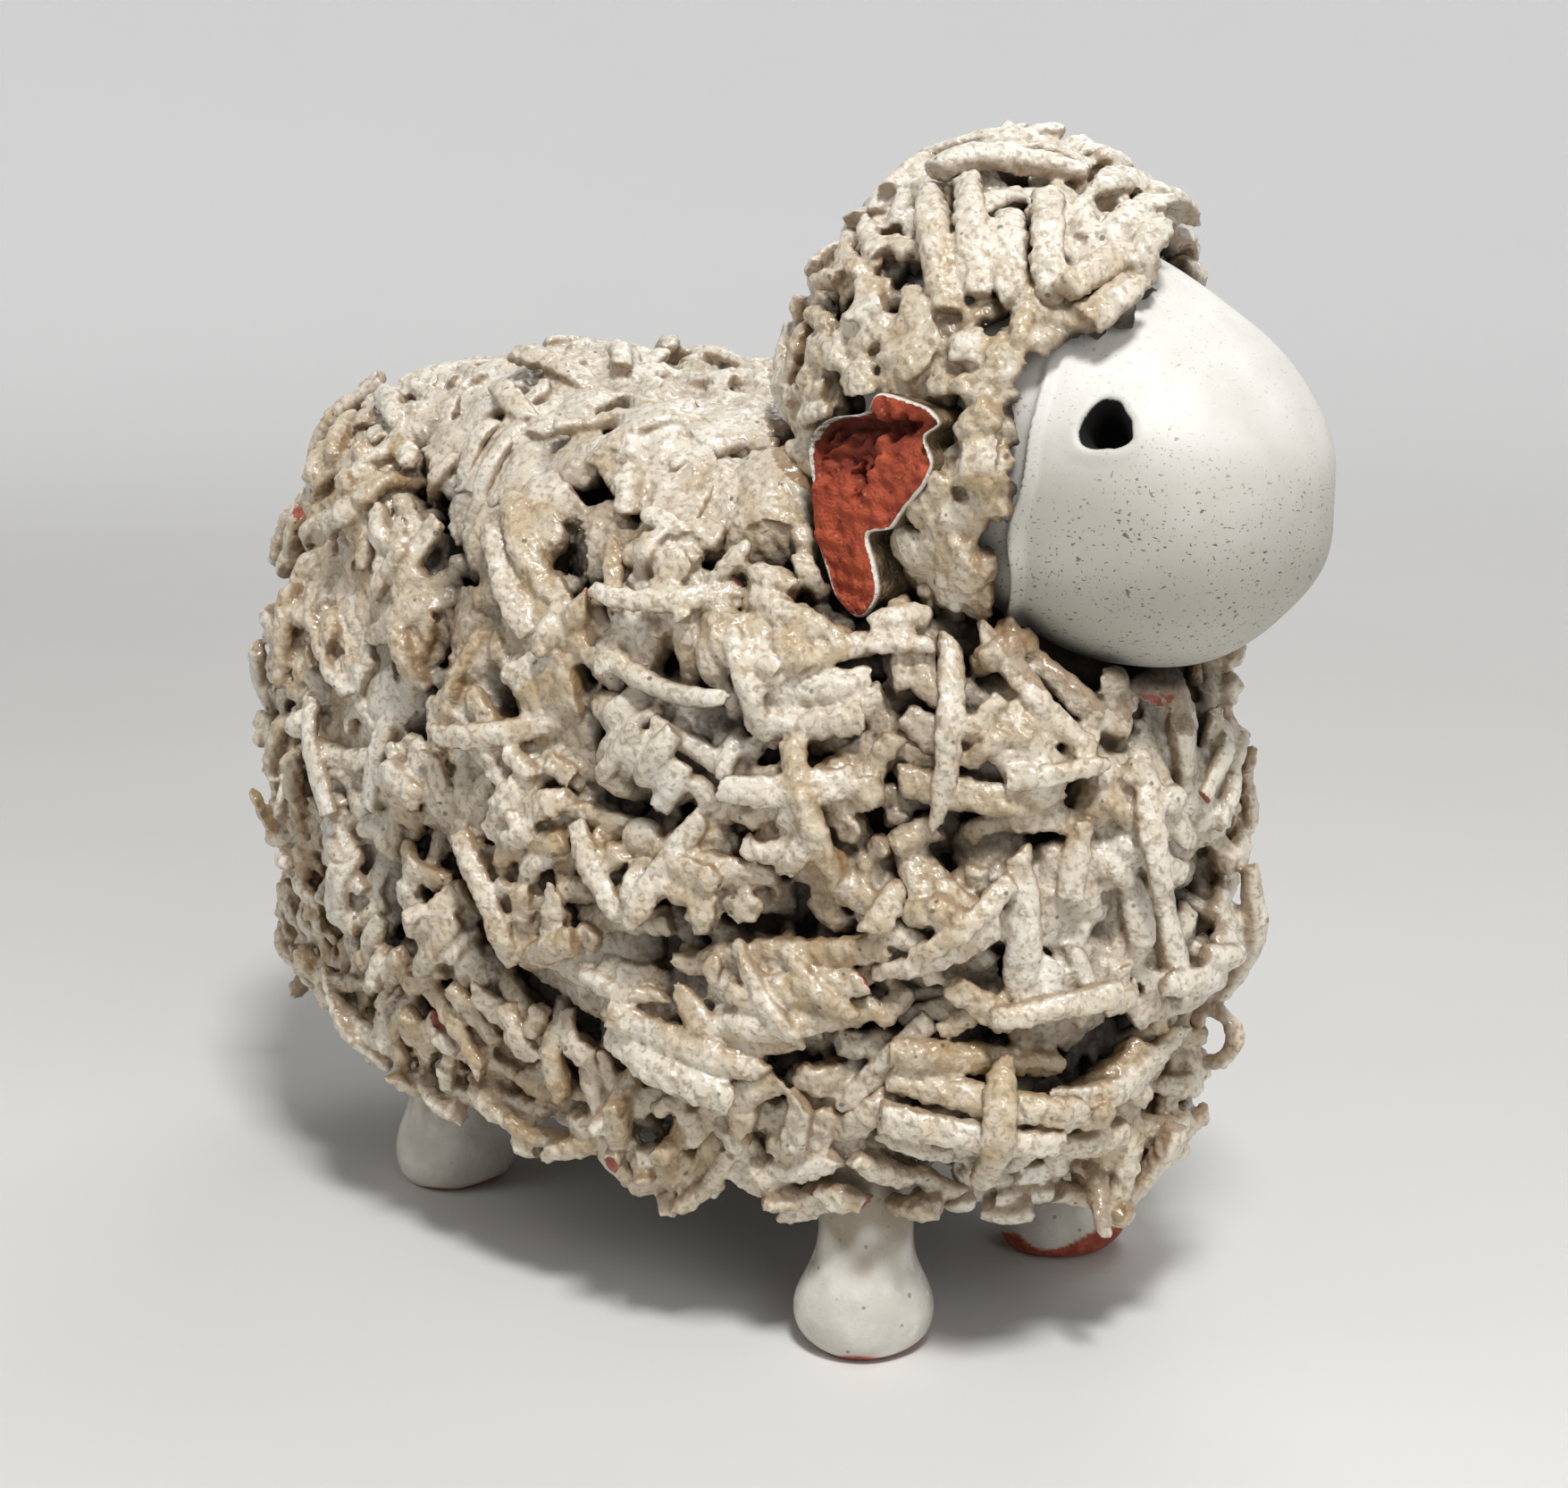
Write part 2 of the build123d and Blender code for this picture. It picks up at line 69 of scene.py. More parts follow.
class PotForm:
    """A closed form with an elliptical section, swelling and closing along its own tilted axis.

    The reaches are how far it goes below and above its widest section, and a fullness of 2 is
    round, while more is boxier. Lengths are millimetres and points have X, Y and Z last.
    """

    def __init__(self, centre, tilt, half_length, half_width, reaches, fullness):
        self.centre = np.array(centre)
        sin, cos = math.sin(math.radians(tilt)), math.cos(math.radians(tilt))
        self.turn = np.array([[cos, 0, sin], [0, 1, 0], [-sin, 0, cos]])
        self.half_length, self.half_width = half_length, half_width
        self.reaches, self.fullness = reaches, fullness

    def to_world(self, local):
        return local @ self.turn.T

    def to_local(self, world):
        return (world - self.centre) @ self.turn

    def shares(self, local):
        """How far points go out towards the rim and towards the ends, with the power and reach there."""
        x, y, z = np.moveaxis(local, -1, 0)
        power = np.where(z > 0, self.fullness[1], self.fullness[0])
        reach = np.where(z > 0, self.reaches[1], self.reaches[0])
        across = np.maximum(np.hypot(x / self.half_length, y / self.half_width), 1e-6)
        return across, np.abs(z) / reach, power, reach

    def level(self, points):
        """About how far points are outside the surface, or inside it below 0, and the ways out."""
        local = self.to_local(points)
        across, rise, power, reach = self.shares(local)
        x, y, z = np.moveaxis(local, -1, 0)
        pull = power * across ** (power - 2)
        slope = np.stack(
            [
                pull * x / self.half_length**2,
                pull * y / self.half_width**2,
                np.sign(z) * power * rise ** (power - 1) / reach,
            ],
            axis=-1,
        )
        steepness = np.linalg.norm(slope, axis=-1)
        return (across**power + rise**power - 1) / steepness, self.to_world(unit(slope))

    def drop_on(self, points):
        """The points of the surface beneath points near it, and the ways out there."""
        for _ in range(3):
            depth, out = self.level(points)
            points = points - out * depth[..., None]
        return points, out

    def height(self, points):
        feet, out = self.drop_on(points)
        return np.sum((points - feet) * out, axis=-1)

    def surface(self, ways):
        """The points of the surface that lie along ways from the centre, in the form's own axes."""
        across, rise, power, _ = self.shares(ways)
        return self.centre + self.to_world(ways * ((across**power + rise**power) ** (-1 / power))[:, None])

    def scatter(self, count, draw):
        """Spots strewn evenly over the surface, and the ways out there."""
        spots = self.surface(unit(draw.normal(size=(4 * count, 3))))
        _, out = self.level(spots)
        arm = spots - self.centre
        size = np.linalg.norm(arm, axis=1)
        share = size**3 / np.sum(arm * out, axis=1)
        pick = draw.choice(len(spots), count, replace=False, p=share / share.sum())
        return spots[pick], out[pick]


def box_of(node):
    """The low and high corners of a node's box, in millimetres."""
    return [np.array(corner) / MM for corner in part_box(node)]


def middle_of(nodes):
    """The middle of the boxes of some nodes, in millimetres."""
    corners = np.array([[tuple(corner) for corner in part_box(node)] for node in nodes])
    return corners.mean(axis=(0, 1)) / MM


def grid_quads(steps):
    """The quads of a square grid of points that are counted row by row."""
    index = np.arange((steps + 1) ** 2).reshape(steps + 1, steps + 1)
    corners = [index[:-1, :-1], index[1:, :-1], index[1:, 1:], index[:-1, 1:]]
    return np.stack(corners, axis=-1).reshape(-1, 4)


def quad_sphere(steps):
    """Even directions over a sphere, from a cube's six gridded faces, and the quads between them."""
    ticks = np.tan(np.linspace(-math.pi / 4, math.pi / 4, steps + 1))
    a, b = np.meshgrid(ticks, ticks, indexing="ij")
    ways, quads = [], []
    for axis in range(3):
        for sign in (-1, 1):
            side = np.stack([np.full_like(a, sign), sign * a, b], axis=-1).reshape(-1, 3)
            quads.append(grid_quads(steps) + len(ways) * len(side))
            ways.append(np.roll(side, axis, axis=1))
    ways, order = np.unique(np.round(np.concatenate(ways), 7), axis=0, return_inverse=True)
    return unit(ways), order.reshape(-1)[np.concatenate(quads)]


def lumps(points, size, seed):
    """Smooth hand-made unevenness, mostly from -1 to 1, with humps about a size apart."""
    draw = np.random.default_rng(seed)
    waves = unit(draw.normal(size=(WAVES, 3))) * draw.uniform(0.6, 1.5, (WAVES, 1)) * (2 * math.pi / size)
    return np.sin(points @ waves.T + draw.uniform(0, 2 * math.pi, WAVES)).sum(axis=1) / math.sqrt(WAVES / 2)


def mesh_of(name, points, faces):
    """A smooth mesh from points in millimetres and faces that all have as many corners."""
    mesh = bpy.data.meshes.new(name)
    mesh.vertices.add(len(points))
    mesh.vertices.foreach_set("co", (points * MM).ravel())
    mesh.loops.add(faces.size)
    mesh.loops.foreach_set("vertex_index", faces.ravel())
    mesh.polygons.add(len(faces))
    mesh.polygons.foreach_set("loop_start", np.arange(0, faces.size, faces.shape[1]))
    mesh.polygons.foreach_set("use_smooth", np.ones(len(faces), bool))
    mesh.update(calc_edges=True)
    return mesh


def points_of(mesh):
    """A mesh's points in millimetres and the ways out at them."""
    points, out = np.empty(len(mesh.vertices) * 3), np.empty(len(mesh.vertices) * 3)
    mesh.vertices.foreach_get("co", points)
    mesh.vertex_normals.foreach_get("vector", out)
    return points.reshape(-1, 3) / MM, out.reshape(-1, 3)


def put_points(mesh, points):
    mesh.vertices.foreach_set("co", (points * MM).ravel())
    mesh.update()


def note(mesh, name, values):
    """Writes one number a point on a mesh, for its material to read."""
    mesh.attributes.new(name, "FLOAT", "POINT").data.foreach_set("value", values.astype(np.float32))


def set_piece(name, mesh, finish, slot, *nodes):
    """Puts a finished mesh in place of its nodes."""
    piece = bpy.data.objects.new(name, mesh)
    bpy.context.scene.collection.objects.link(piece)
    mesh.materials.clear()
    mesh.materials.append(finish)
    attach(piece, "root")
    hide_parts(*nodes)
    return piece


class Wire:
    """A socket in a material, so that its sums are written as plain sums."""

    def __init__(self, tree, socket=None):
        self.tree, self.socket = tree, socket

    def node(self, kind, settings, sockets, out=0):
        """Adds a node: its settings are set first, then the values or wires of its sockets."""
        made = self.tree.nodes.new(kind)
        for name, value in settings.items():
            setattr(made, name, value)
        for name, value in sockets.items():
            if isinstance(value, Wire):
                self.tree.links.new(value.socket, made.inputs[name])
            else:
                made.inputs[name].default_value = value
        return Wire(self.tree, made.outputs[out])

    def sum(self, operation, first, second):
        return self.node("ShaderNodeMath", {"operation": operation}, {0: first, 1: second})

    def __add__(self, other):
        return self.sum("ADD", self, other)

    __radd__ = __add__

    def __sub__(self, other):
        return self.sum("SUBTRACT", self, other)

    def __rsub__(self, other):
        return self.sum("SUBTRACT", other, self)

    def __mul__(self, other):
        return self.sum("MULTIPLY", self, other)

    __rmul__ = __mul__

    def above(self, low, high):
        """0 below low, 1 above high, and smooth between."""
        settings = {"interpolation_type": "SMOOTHSTEP"}
        return self.node("ShaderNodeMapRange", settings, {"Value": self, "From Min": low, "From Max": high})

    def tint(self, off, on):
        """A colour between two others, by this value from 0 to 1."""
        sockets = {"Factor": self, 6: off, 7: on}
        return self.node("ShaderNodeMix", {"data_type": "RGBA"}, sockets, out=2)

    def mottle(self, size, detail=2.0, stretch=None):
        """Cloudy variation from 0 to 1, of a size in millimetres."""
        sockets = {"Vector": self.place(stretch), "Scale": 1 / (size * MM), "Detail": detail}
        return self.node("ShaderNodeTexNoise", {}, sockets)

    def specks(self, spacing, rarity, outside, inside):
        """1 in strewn dots and 0 round them, with the shares of their spacing where they end and are full.

        The spacing is in millimetres, and each dot is smaller by its own chance times the rarity.
        """
        sockets = {"Vector": self.place(), "Scale": 1 / (spacing * MM)}
        colour = self.node("ShaderNodeTexVoronoi", {}, sockets, out=1)
        chance = self.node("ShaderNodeSeparateColor", {}, {"Color": colour})
        return (self.node("ShaderNodeTexVoronoi", {}, sockets) + rarity * chance).above(outside, inside)

    def place(self, stretch=None):
        """Where the surface is, in the sheep's own axes, drawn out by a stretch along each."""
        place = self.node("ShaderNodeTexCoord", {}, {}, out=3)
        if stretch is None:
            return place
        return self.node("ShaderNodeVectorMath", {"operation": "MULTIPLY"}, {0: place, 1: stretch})

    def noted(self, name):
        """A number that the mesh carries at each point."""
        return self.node("ShaderNodeAttribute", {"attribute_name": name}, {}, out=2)

    def bump(self, height, depth, normal=None):
        """A surface raised by a height from 0 to 1, to a depth in millimetres."""
        sockets = {"Height": height, "Distance": depth * MM}
        if normal is not None:
            sockets["Normal"] = normal
        return self.node("ShaderNodeBump", {}, sockets)


def paint(red, green, blue):
    """A colour from its values on a screen, from 0 to 255."""
    return tuple(((v / 255 + 0.055) / 1.055) ** 2.4 for v in (red, green, blue)) + (1.0,)


def new_finish(name, colour, **sockets):
    """A material with its colour, and a first wire to draw on it with."""
    finish = bpy.data.materials.new(name)
    finish.use_nodes = True
    finish.diffuse_color = colour
    shader = finish.node_tree.nodes["Principled BSDF"]
    shader.inputs["Base Color"].default_value = colour
    for key, value in sockets.items():
        shader.inputs[key.replace("_", " ").title()].default_value = value
    return finish, Wire(finish.node_tree)


def feed(finish, **wires):
    """Links wires to a material's shader."""
    shader = finish.node_tree.nodes["Principled BSDF"]
    for key, wire in wires.items():
        finish.node_tree.links.new(wire.socket, shader.inputs[key.replace("_", " ").title()])


def pot_skin():
    """Thin brown glaze over red clay, blotched and pitted, and painted near black as the shade in the gaps
    between the strands.
    """
    finish, wire = new_finish("pot_skin", paint(44, 32, 22), roughness=0.9)
    blotch = wire.mottle(2.5, 4.0).above(0.4, 0.65)
    feed(
        finish,
        # painted shade: both browns are darkened towards black to stand for the shade in the gaps
        base_color=blotch.tint(paint(26, 18, 12), paint(62, 46, 32)),
        normal=wire.bump(wire.mottle(0.7, 3.0), 0.2),
    )
    return finish


ORIGIN = middle_of(LEGS) * [1, 1, 0]
BODY_CENTRE = ORIGIN + [-BODY_SETBACK, 0, BODY_HEIGHT]
BODY = PotForm(BODY_CENTRE, BODY_DROOP, BODY_HALF_LENGTH, BODY_HALF_WIDTH, BODY_REACHES, BODY_FULLNESS)
ways, quads = quad_sphere(BODY_STEPS)
spots = BODY.surface(ways)
spots += BODY.level(spots)[1] * (BODY_HUMP_HEIGHT * lumps(spots, BODY_HUMP_SIZE, 3))[:, None]
set_piece("body_pot", mesh_of("body_pot", spots, quads), pot_skin(), "body_slip", "body_shell")

# Head: a smooth egg, pinched hollow, with its narrow end forward and drooping.
# The eyes were pierced through the soft wall with a stick, which left a rounded
# triangle with a raised rim. White glaze over specked clay, rubbed to a satin sheen.
HEAD_RADIUS = 14.6
HEAD_REACHES = (14.6, 27.0)
HEAD_FULLNESS = (2.0, 2.6)
HEAD_DROOP = 23.0
HEAD_FORWARD = 28.7
HEAD_STAND = 7.5
HEAD_STEPS = 140
HEAD_HUMP_SIZE = 11.0
HEAD_HUMP_HEIGHT = 0.13
EYE_RADIUS = 1.85
EYE_STATION = 16.0
EYE_RISE = 30.0
EYE_CORNERS = 0.1
EYE_DEPTH = 4.5
EYE_WALL = 0.62
EYE_RIM = 0.12
EYE_RIM_SPANS = (1.8, 1.2, 1.0)
EYE_RAG_SIZE = 1.3
EYE_RAG_HEIGHT = 0.03
EYE_FAR = 9.0
EYE_ZOOM = 0.7
EYE_ZOOM_REACH = 0.3
LIP_STATION = 13.2
LIP_DIP = 3.0
LIP_DIP_PLACE = 0.5
LIP_DIP_WIDTH = 0.27
LIP_FAR = 8.0
LIP_FAR_SPAN = (-0.55, 0.35)
LIP_HEIGHT = 0.9
LIP_WIDTH = 0.42
LIP_WANDER = 0.7
LIP_WANDER_SIZE = 7.0
LIP_INSET = 0.7
LIP_TOP_SPAN = (0.7, 0.3)
CHIN_SPAN = (4.0, -12.0)
FACE_SPECKS = (
    (0.34, (0.75, 0.75, 1.5), 0.67),
    (0.26, (1.4, 1.4, 0.8), 0.69),
    (0.5, (1, 1, 1), 0.72),
)


def head_centre():
    """The head stands over the shoulders, at a set height above the body's surface there."""
    share = HEAD_FORWARD / BODY_HALF_LENGTH
    power = BODY_FULLNESS[1]
    rise = BODY_REACHES[1] * (1 - share**power) ** (1 / power)
    return BODY.centre + BODY.to_world(np.array([HEAD_FORWARD, 0, rise])) + [0, 0, HEAD_STAND]


HEAD = PotForm(head_centre(), 90 + HEAD_DROOP, HEAD_RADIUS, HEAD_RADIUS, HEAD_REACHES, HEAD_FULLNESS)


def eye_axes(side):
    """The spot of an eye, the way out there, and two ways across: up the face and along it."""
    angle = math.radians(EYE_RISE)
    beside = [-math.sin(angle) * HEAD_RADIUS, side * math.cos(angle) * HEAD_RADIUS, EYE_STATION]
    spot, out = HEAD.drop_on(HEAD.centre + HEAD.to_world(np.array(beside)))
    up = unit(np.array([0, 0, 1]) - out * out[2])
    return spot, out, up, np.cross(up, out)


def smooth(low, high, values):
    """0 below low, 1 above high, and smooth between."""
    t = np.clip((values - low) / (high - low), 0, 1)
    return t * t * (3 - 2 * t)


def eye_share(points, side):
    """How far points are from the middle of an eye, as a share of its rounded, three-cornered rim."""
    spot, out, up, along = eye_axes(side)
    apart = points - spot
    high, wide = apart @ up, apart @ along
    rim = EYE_RADIUS * (1 + EYE_CORNERS * np.cos(3 * np.arctan2(wide, high)))
    return np.hypot(high, wide) / rim + EYE_FAR * (apart @ out < -EYE_DEPTH)


def face_edge(points):
    """The station along the nose where the wool ends, further back over the right eye and the left side."""
    local = HEAD.to_local(points) / HEAD_RADIUS
    dip = np.exp(-(((-local[..., 0] - LIP_DIP_PLACE) / LIP_DIP_WIDTH) ** 2))
    return LIP_STATION - LIP_DIP * dip - LIP_FAR * smooth(*LIP_FAR_SPAN, local[..., 1])


def make_head():
    """The egg with its pierced eyes and the lip of glaze where the wool ends."""
    ways, quads = quad_sphere(HEAD_STEPS)
    for side in (-1, 1):
        aim = unit(HEAD.to_local(eye_axes(side)[0]))
        away = np.arccos(np.clip(ways @ aim, -1, 1))[:, None]
        draw_in = EYE_ZOOM * np.exp(-((away / EYE_ZOOM_REACH) ** 2))
        ways = unit(ways * (1 - draw_in) + aim * draw_in * np.cos(away))
    points = HEAD.surface(ways)
    _, out = HEAD.level(points)
    station = HEAD.to_local(points)[:, 2]
    wander = face_edge(points) - LIP_INSET + LIP_WANDER * lumps(points, LIP_WANDER_SIZE, 5)
    cheek = smooth(*LIP_TOP_SPAN, -HEAD.to_local(points)[:, 0] / HEAD_RADIUS)
    lip = LIP_HEIGHT * cheek * np.exp(-(((station - wander) / LIP_WIDTH) ** 2))
    raised = HEAD_HUMP_HEIGHT * lumps(points, HEAD_HUMP_SIZE, 4) + lip
    eye = np.full(len(points), EYE_FAR)
    foot, crest, edge = EYE_RIM_SPANS
    for side in (-1, 1):
        share = eye_share(points + EYE_RAG_HEIGHT * lumps(points, EYE_RAG_SIZE, 8)[:, None], side)
        raised += EYE_RIM * smooth(foot, crest, share) - EYE_RIM * smooth(crest, edge, share)
        raised -= EYE_DEPTH * smooth(1.0, EYE_WALL, share)
        eye = np.minimum(eye, share)
    mesh = mesh_of("head", points + out * raised[:, None], quads)
    note(mesh, "eye", eye)
    note(mesh, "chin", smooth(*CHIN_SPAN, points[:, 2] - HEAD.centre[2]))
    return mesh


def face_glaze():
    """Satin white glaze, with painted shade that greys it to the chin, fine specks, short drag marks from
    the sponge and painted shade near black in the eye holes.
    """
    finish, wire = new_finish("face_glaze", paint(226, 223, 215))
    chin = wire.noted("chin")
    cloud = wire.mottle(7.0, 3.0).above(0.35, 0.7)
    ground = cloud.tint(paint(214, 211, 204), paint(228, 226, 220))
    # painted shade: the face greys towards the chin, the underside that the light misses
    ground = (chin * 0.65).tint(ground, paint(160, 158, 145))
    patch = (chin * 0.45 + wire.mottle(5.0, 3.0)).above(0.4, 0.85)
    for size, drag, rare in FACE_SPECKS:
        speck = wire.mottle(size, 1.0, drag).above(rare, rare + 0.05)
        ground = (speck * (patch * 0.75 + 0.1)).tint(ground, paint(92, 80, 62))
    # painted shade: the pierced eye holes are painted near black, as the shade inside the hollow head
    eye_hole_shade = wire.noted("eye").above(1.0, 0.95)
    pitted = wire.bump(wire.mottle(0.5, 2.0), 0.018)
    feed(
        finish,
        base_color=eye_hole_shade.tint(ground, paint(16, 12, 9)),
        roughness=wire.mottle(3.0, 3.0) * 0.16 + 0.44 + eye_hole_shade * 0.4,
        normal=wire.bump(wire.mottle(4.0, 2.0), 0.05, pitted),
    )
    return finish


set_piece("head", make_head(), face_glaze(), "face_glaze", "head_shell")

# Legs: four rolled stubs, luted under the belly and pressed down to swell at the foot.
# They were dipped in white glaze, and the sole was wiped, so that a wavering band
# of bare red clay shows round its edge.
LEG_VOXEL = 0.3
LEG_SOFTEN = 8
LEG_HUMP_SIZE = 9.0
LEG_HUMP_HEIGHT = 0.16
LEG_SEEDS = dict(zip(LEGS, (21, 22, 23, 24)))
WIPED_HEIGHTS = dict(zip(LEGS, (0.5, 1.9, 0.3, 0.9)))
WIPED_LEAST = 0.15
WIPED_EDGE = 0.18
SHANK_SHADOW_SPAN = (6.0, 11.0)


def fused(mesh, voxel, soften):
    """One closed skin round overlapping clay, softened as a coat of glaze softens it."""
    name = mesh.name
    rough = bpy.data.objects.new(name, mesh)
    bpy.context.scene.collection.objects.link(rough)
    skin = rough.modifiers.new("skin", "REMESH")
    skin.mode = "VOXEL"
    skin.voxel_size = voxel * MM
    skin.use_smooth_shade = True
    melt = rough.modifiers.new("melt", "SMOOTH")
    melt.factor = 0.5
    melt.iterations = soften
    shaped = bpy.data.meshes.new_from_object(rough.evaluated_get(bpy.context.evaluated_depsgraph_get()))
    bpy.data.objects.remove(rough)
    bpy.data.meshes.remove(mesh)
    shaped.name = name
    return shaped


def copy_of(node):
    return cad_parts[node].data.copy()


def make_leg(node, seed):
    """A stub shaped by hand from the turned one, still flat under its sole."""
    mesh = fused(copy_of(node), LEG_VOXEL, LEG_SOFTEN)
    points, out = points_of(mesh)
    points += out * (LEG_HUMP_HEIGHT * lumps(points, LEG_HUMP_SIZE, seed))[:, None]
    points[:, 2] -= points[:, 2].min()
    put_points(mesh, points)
    edge = WIPED_HEIGHTS[node] * (1 + 0.5 * lumps(points, 6.0, seed + 1)) + WIPED_LEAST
    note(mesh, "wiped", smooth(WIPED_EDGE, -WIPED_EDGE, points[:, 2] - edge))
    note(mesh, "shank", smooth(*SHANK_SHADOW_SPAN, points[:, 2] + lumps(points, 3.0, seed + 2)))
    return mesh


def foot_glaze():
    """White dipped glaze, with the painted shadow of the body in brown up the shank, and bare red clay
    where the sole was wiped.
    """
    finish, wire = new_finish("foot_glaze", paint(228, 224, 214))
    cloud = wire.mottle(3.0, 3.0).above(0.35, 0.7)
    white = cloud.tint(paint(202, 198, 188), paint(222, 219, 211))
    # painted shadow: the shank is tinted brown where the body shades it
    white = (wire.noted("shank") * 0.75).tint(white, paint(128, 110, 84))
    white = (wire.specks(0.9, 1.1, 0.3, 0.2) * 0.6).tint(white, paint(110, 94, 74))
    bare = wire.noted("wiped")
    clay = wire.mottle(0.8, 4.0).above(0.35, 0.7).tint(paint(142, 58, 42), paint(176, 88, 62))
    grain = wire.mottle(0.35, 3.0)
    feed(
        finish,
        base_color=bare.tint(white, clay),
        roughness=bare * 0.5 + wire.mottle(2.0) * 0.12 + 0.2,
        normal=wire.bump(grain, 0.05, wire.bump(wire.mottle(2.5), 0.08)),
    )
    return finish


foot_finish = foot_glaze()
obstacles = []
for node, seed in LEG_SEEDS.items():
    name = node.replace("leg", "stub")
    obstacles.append(set_piece(name, make_leg(node, seed), foot_finish, "foot_glaze", node))

# Right ear: only its root is left, a gritty red scar where the ear snapped off.
# The glaze stops at its edge as a thin white line, a ragged crack runs along
# its top, and a three-cornered pit is left in the middle.
SCAR_OUTLINE = (
    (-4.4, 3.4), (-5.1, 1.9), (-4.7, -0.6), (-4.4, -4.0), (-3.3, -6.7), (-2.5, -8.4),
    (-0.8, -9.7), (0.5, -9.5), (1.5, -7.9), (1.2, -6.0), (0.5, -3.8), (2.6, -3.2),
    (3.8, -1.8), (5.7, 0.1), (6.3, 1.7), (5.6, 3.3), (6.9, 4.3), (6.0, 5.3),
    (4.2, 5.8), (2.1, 6.2), (1.1, 6.0), (0.2, 4.8), (-2.8, 4.3),
)
SCAR_BEND_STEPS = 6
SCAR_MIDDLE_DROP = 5.4
SCAR_ROOT = 7.0
SCAR_VOXEL = 0.17
SCAR_SOFTEN = 2
SCAR_GRIT_SIZE = 1.3
SCAR_GRIT_HEIGHT = 0.08
SCAR_HUMP_SIZE = 4.0
SCAR_HUMP_HEIGHT = 0.15
SCAR_RIM = (0.1, 0.26)
SCAR_RAG = 0.22
CRACK_DEPTH = 1.5
CRACK_WIDTH = 0.75
CRACK_LINE = ((-4.6, 3.0), (-1.8, 3.9), (1.4, 3.7), (4.2, 4.1))
STEP_LINE = ((-5.2, -0.7), (-2.4, 0.4), (-0.9, 0.9), (0.8, 0.8))
STEP_DEPTH = 0.8
SLOPE_DEPTH = 0.9
LEDGE_LINES = (((-5.0, 1.0), (-1.8, 1.5), (1.5, 2.0)), ((-4.6, 2.0), (-1.5, 2.6), (2.4, 3.3)))
LEDGE_DEPTH = 0.4
LEDGE_WIDTH = 0.35
PIT_CORNERS = ((-1.4, 1.1), (0.9, 0.9), (-0.5, -2.3))
PIT_DEPTH = 2.0
MOST_SUNK = 2.6
WALL_EDGE = 0.5


def line_distance(spots, line):
    """How far spots in a plane are from a line of joined stretches."""
    line = np.array(line)
    best = np.full(len(spots), np.inf)
    for start, end in zip(line[:-1], line[1:]):
        along = end - start
        t = np.clip((spots - start) @ along / (along @ along), 0, 1)
        best = np.minimum(best, np.linalg.norm(spots - start - t[:, None] * along, axis=1))
    return best


def inside_corners(spots, corners):
    """How far spots in a plane are inside a shape with straight sides that runs clockwise."""
    corners = np.array(corners)
    depth = np.full(len(spots), np.inf)
    for start, end in zip(corners, np.roll(corners, -1, axis=0)):
        side = unit(end - start)
        depth = np.minimum(depth, (spots - start) @ np.array([side[1], -side[0]]))
    return depth


def rounded(corners, steps):
    """A closed line that bends smoothly through some corners."""
    a = np.array(corners)
    before, after, next_but_one = np.roll(a, 1, axis=0), np.roll(a, -1, axis=0), np.roll(a, -2, axis=0)
    rows = []
    for t in np.linspace(0, 1, steps, endpoint=False):
        turn = (after - before) * t + (2 * before - 5 * a + 4 * after - next_but_one) * t**2
        rows.append(a + (turn + (3 * a - before - 3 * after + next_but_one) * t**3) / 2)
    return np.stack(rows, axis=1).reshape(-1, 2)


def prism(name, outline, near, far):
    """A block between two upright planes, with an outline in X and Z."""
    many = len(outline)
    front = np.insert(outline, 1, near, axis=1)
    back = np.insert(outline, 1, far, axis=1)
    after = np.roll(np.arange(many), -1)
    faces = [list(range(many)), list(range(2 * many - 1, many - 1, -1))]
    faces += [[i, i + many, j + many, j] for i, j in enumerate(after)]
    mesh = bpy.data.meshes.new(name)
    mesh.from_pydata(np.concatenate([front, back]) * MM, [], faces)
    return mesh


def scar_place():
    """The middle of the scar in X and Z, and how far out its face is."""
    low, high = box_of("ear_root_right")
    return np.array([(low[0] + high[0]) / 2, high[2] - SCAR_MIDDLE_DROP]), low[1]


def is_in_scar(points, margin):
    """True if any point lies in front of the scar or inside its root."""
    spots = points[points[:, 1] < ORIGIN[1]][:, [0, 2]] - scar_place()[0]
    if not len(spots) or np.abs(spots).max(axis=1).min() > 2 * SCAR_MIDDLE_DROP:
        return False
    line = np.array(SCAR_OUTLINE + SCAR_OUTLINE[:1])
    (x0, z0), (x1, z1) = line[:-1].T, line[1:].T
    x, z = spots.T[:, :, None]
    crossed = ((z0 > z) != (z1 > z)) & (x < x0 + (x1 - x0) * (z - z0) / (z1 - z0 + 1e-9))
    return bool((crossed.sum(axis=1) % 2).any() or line_distance(spots, line).min() < margin)


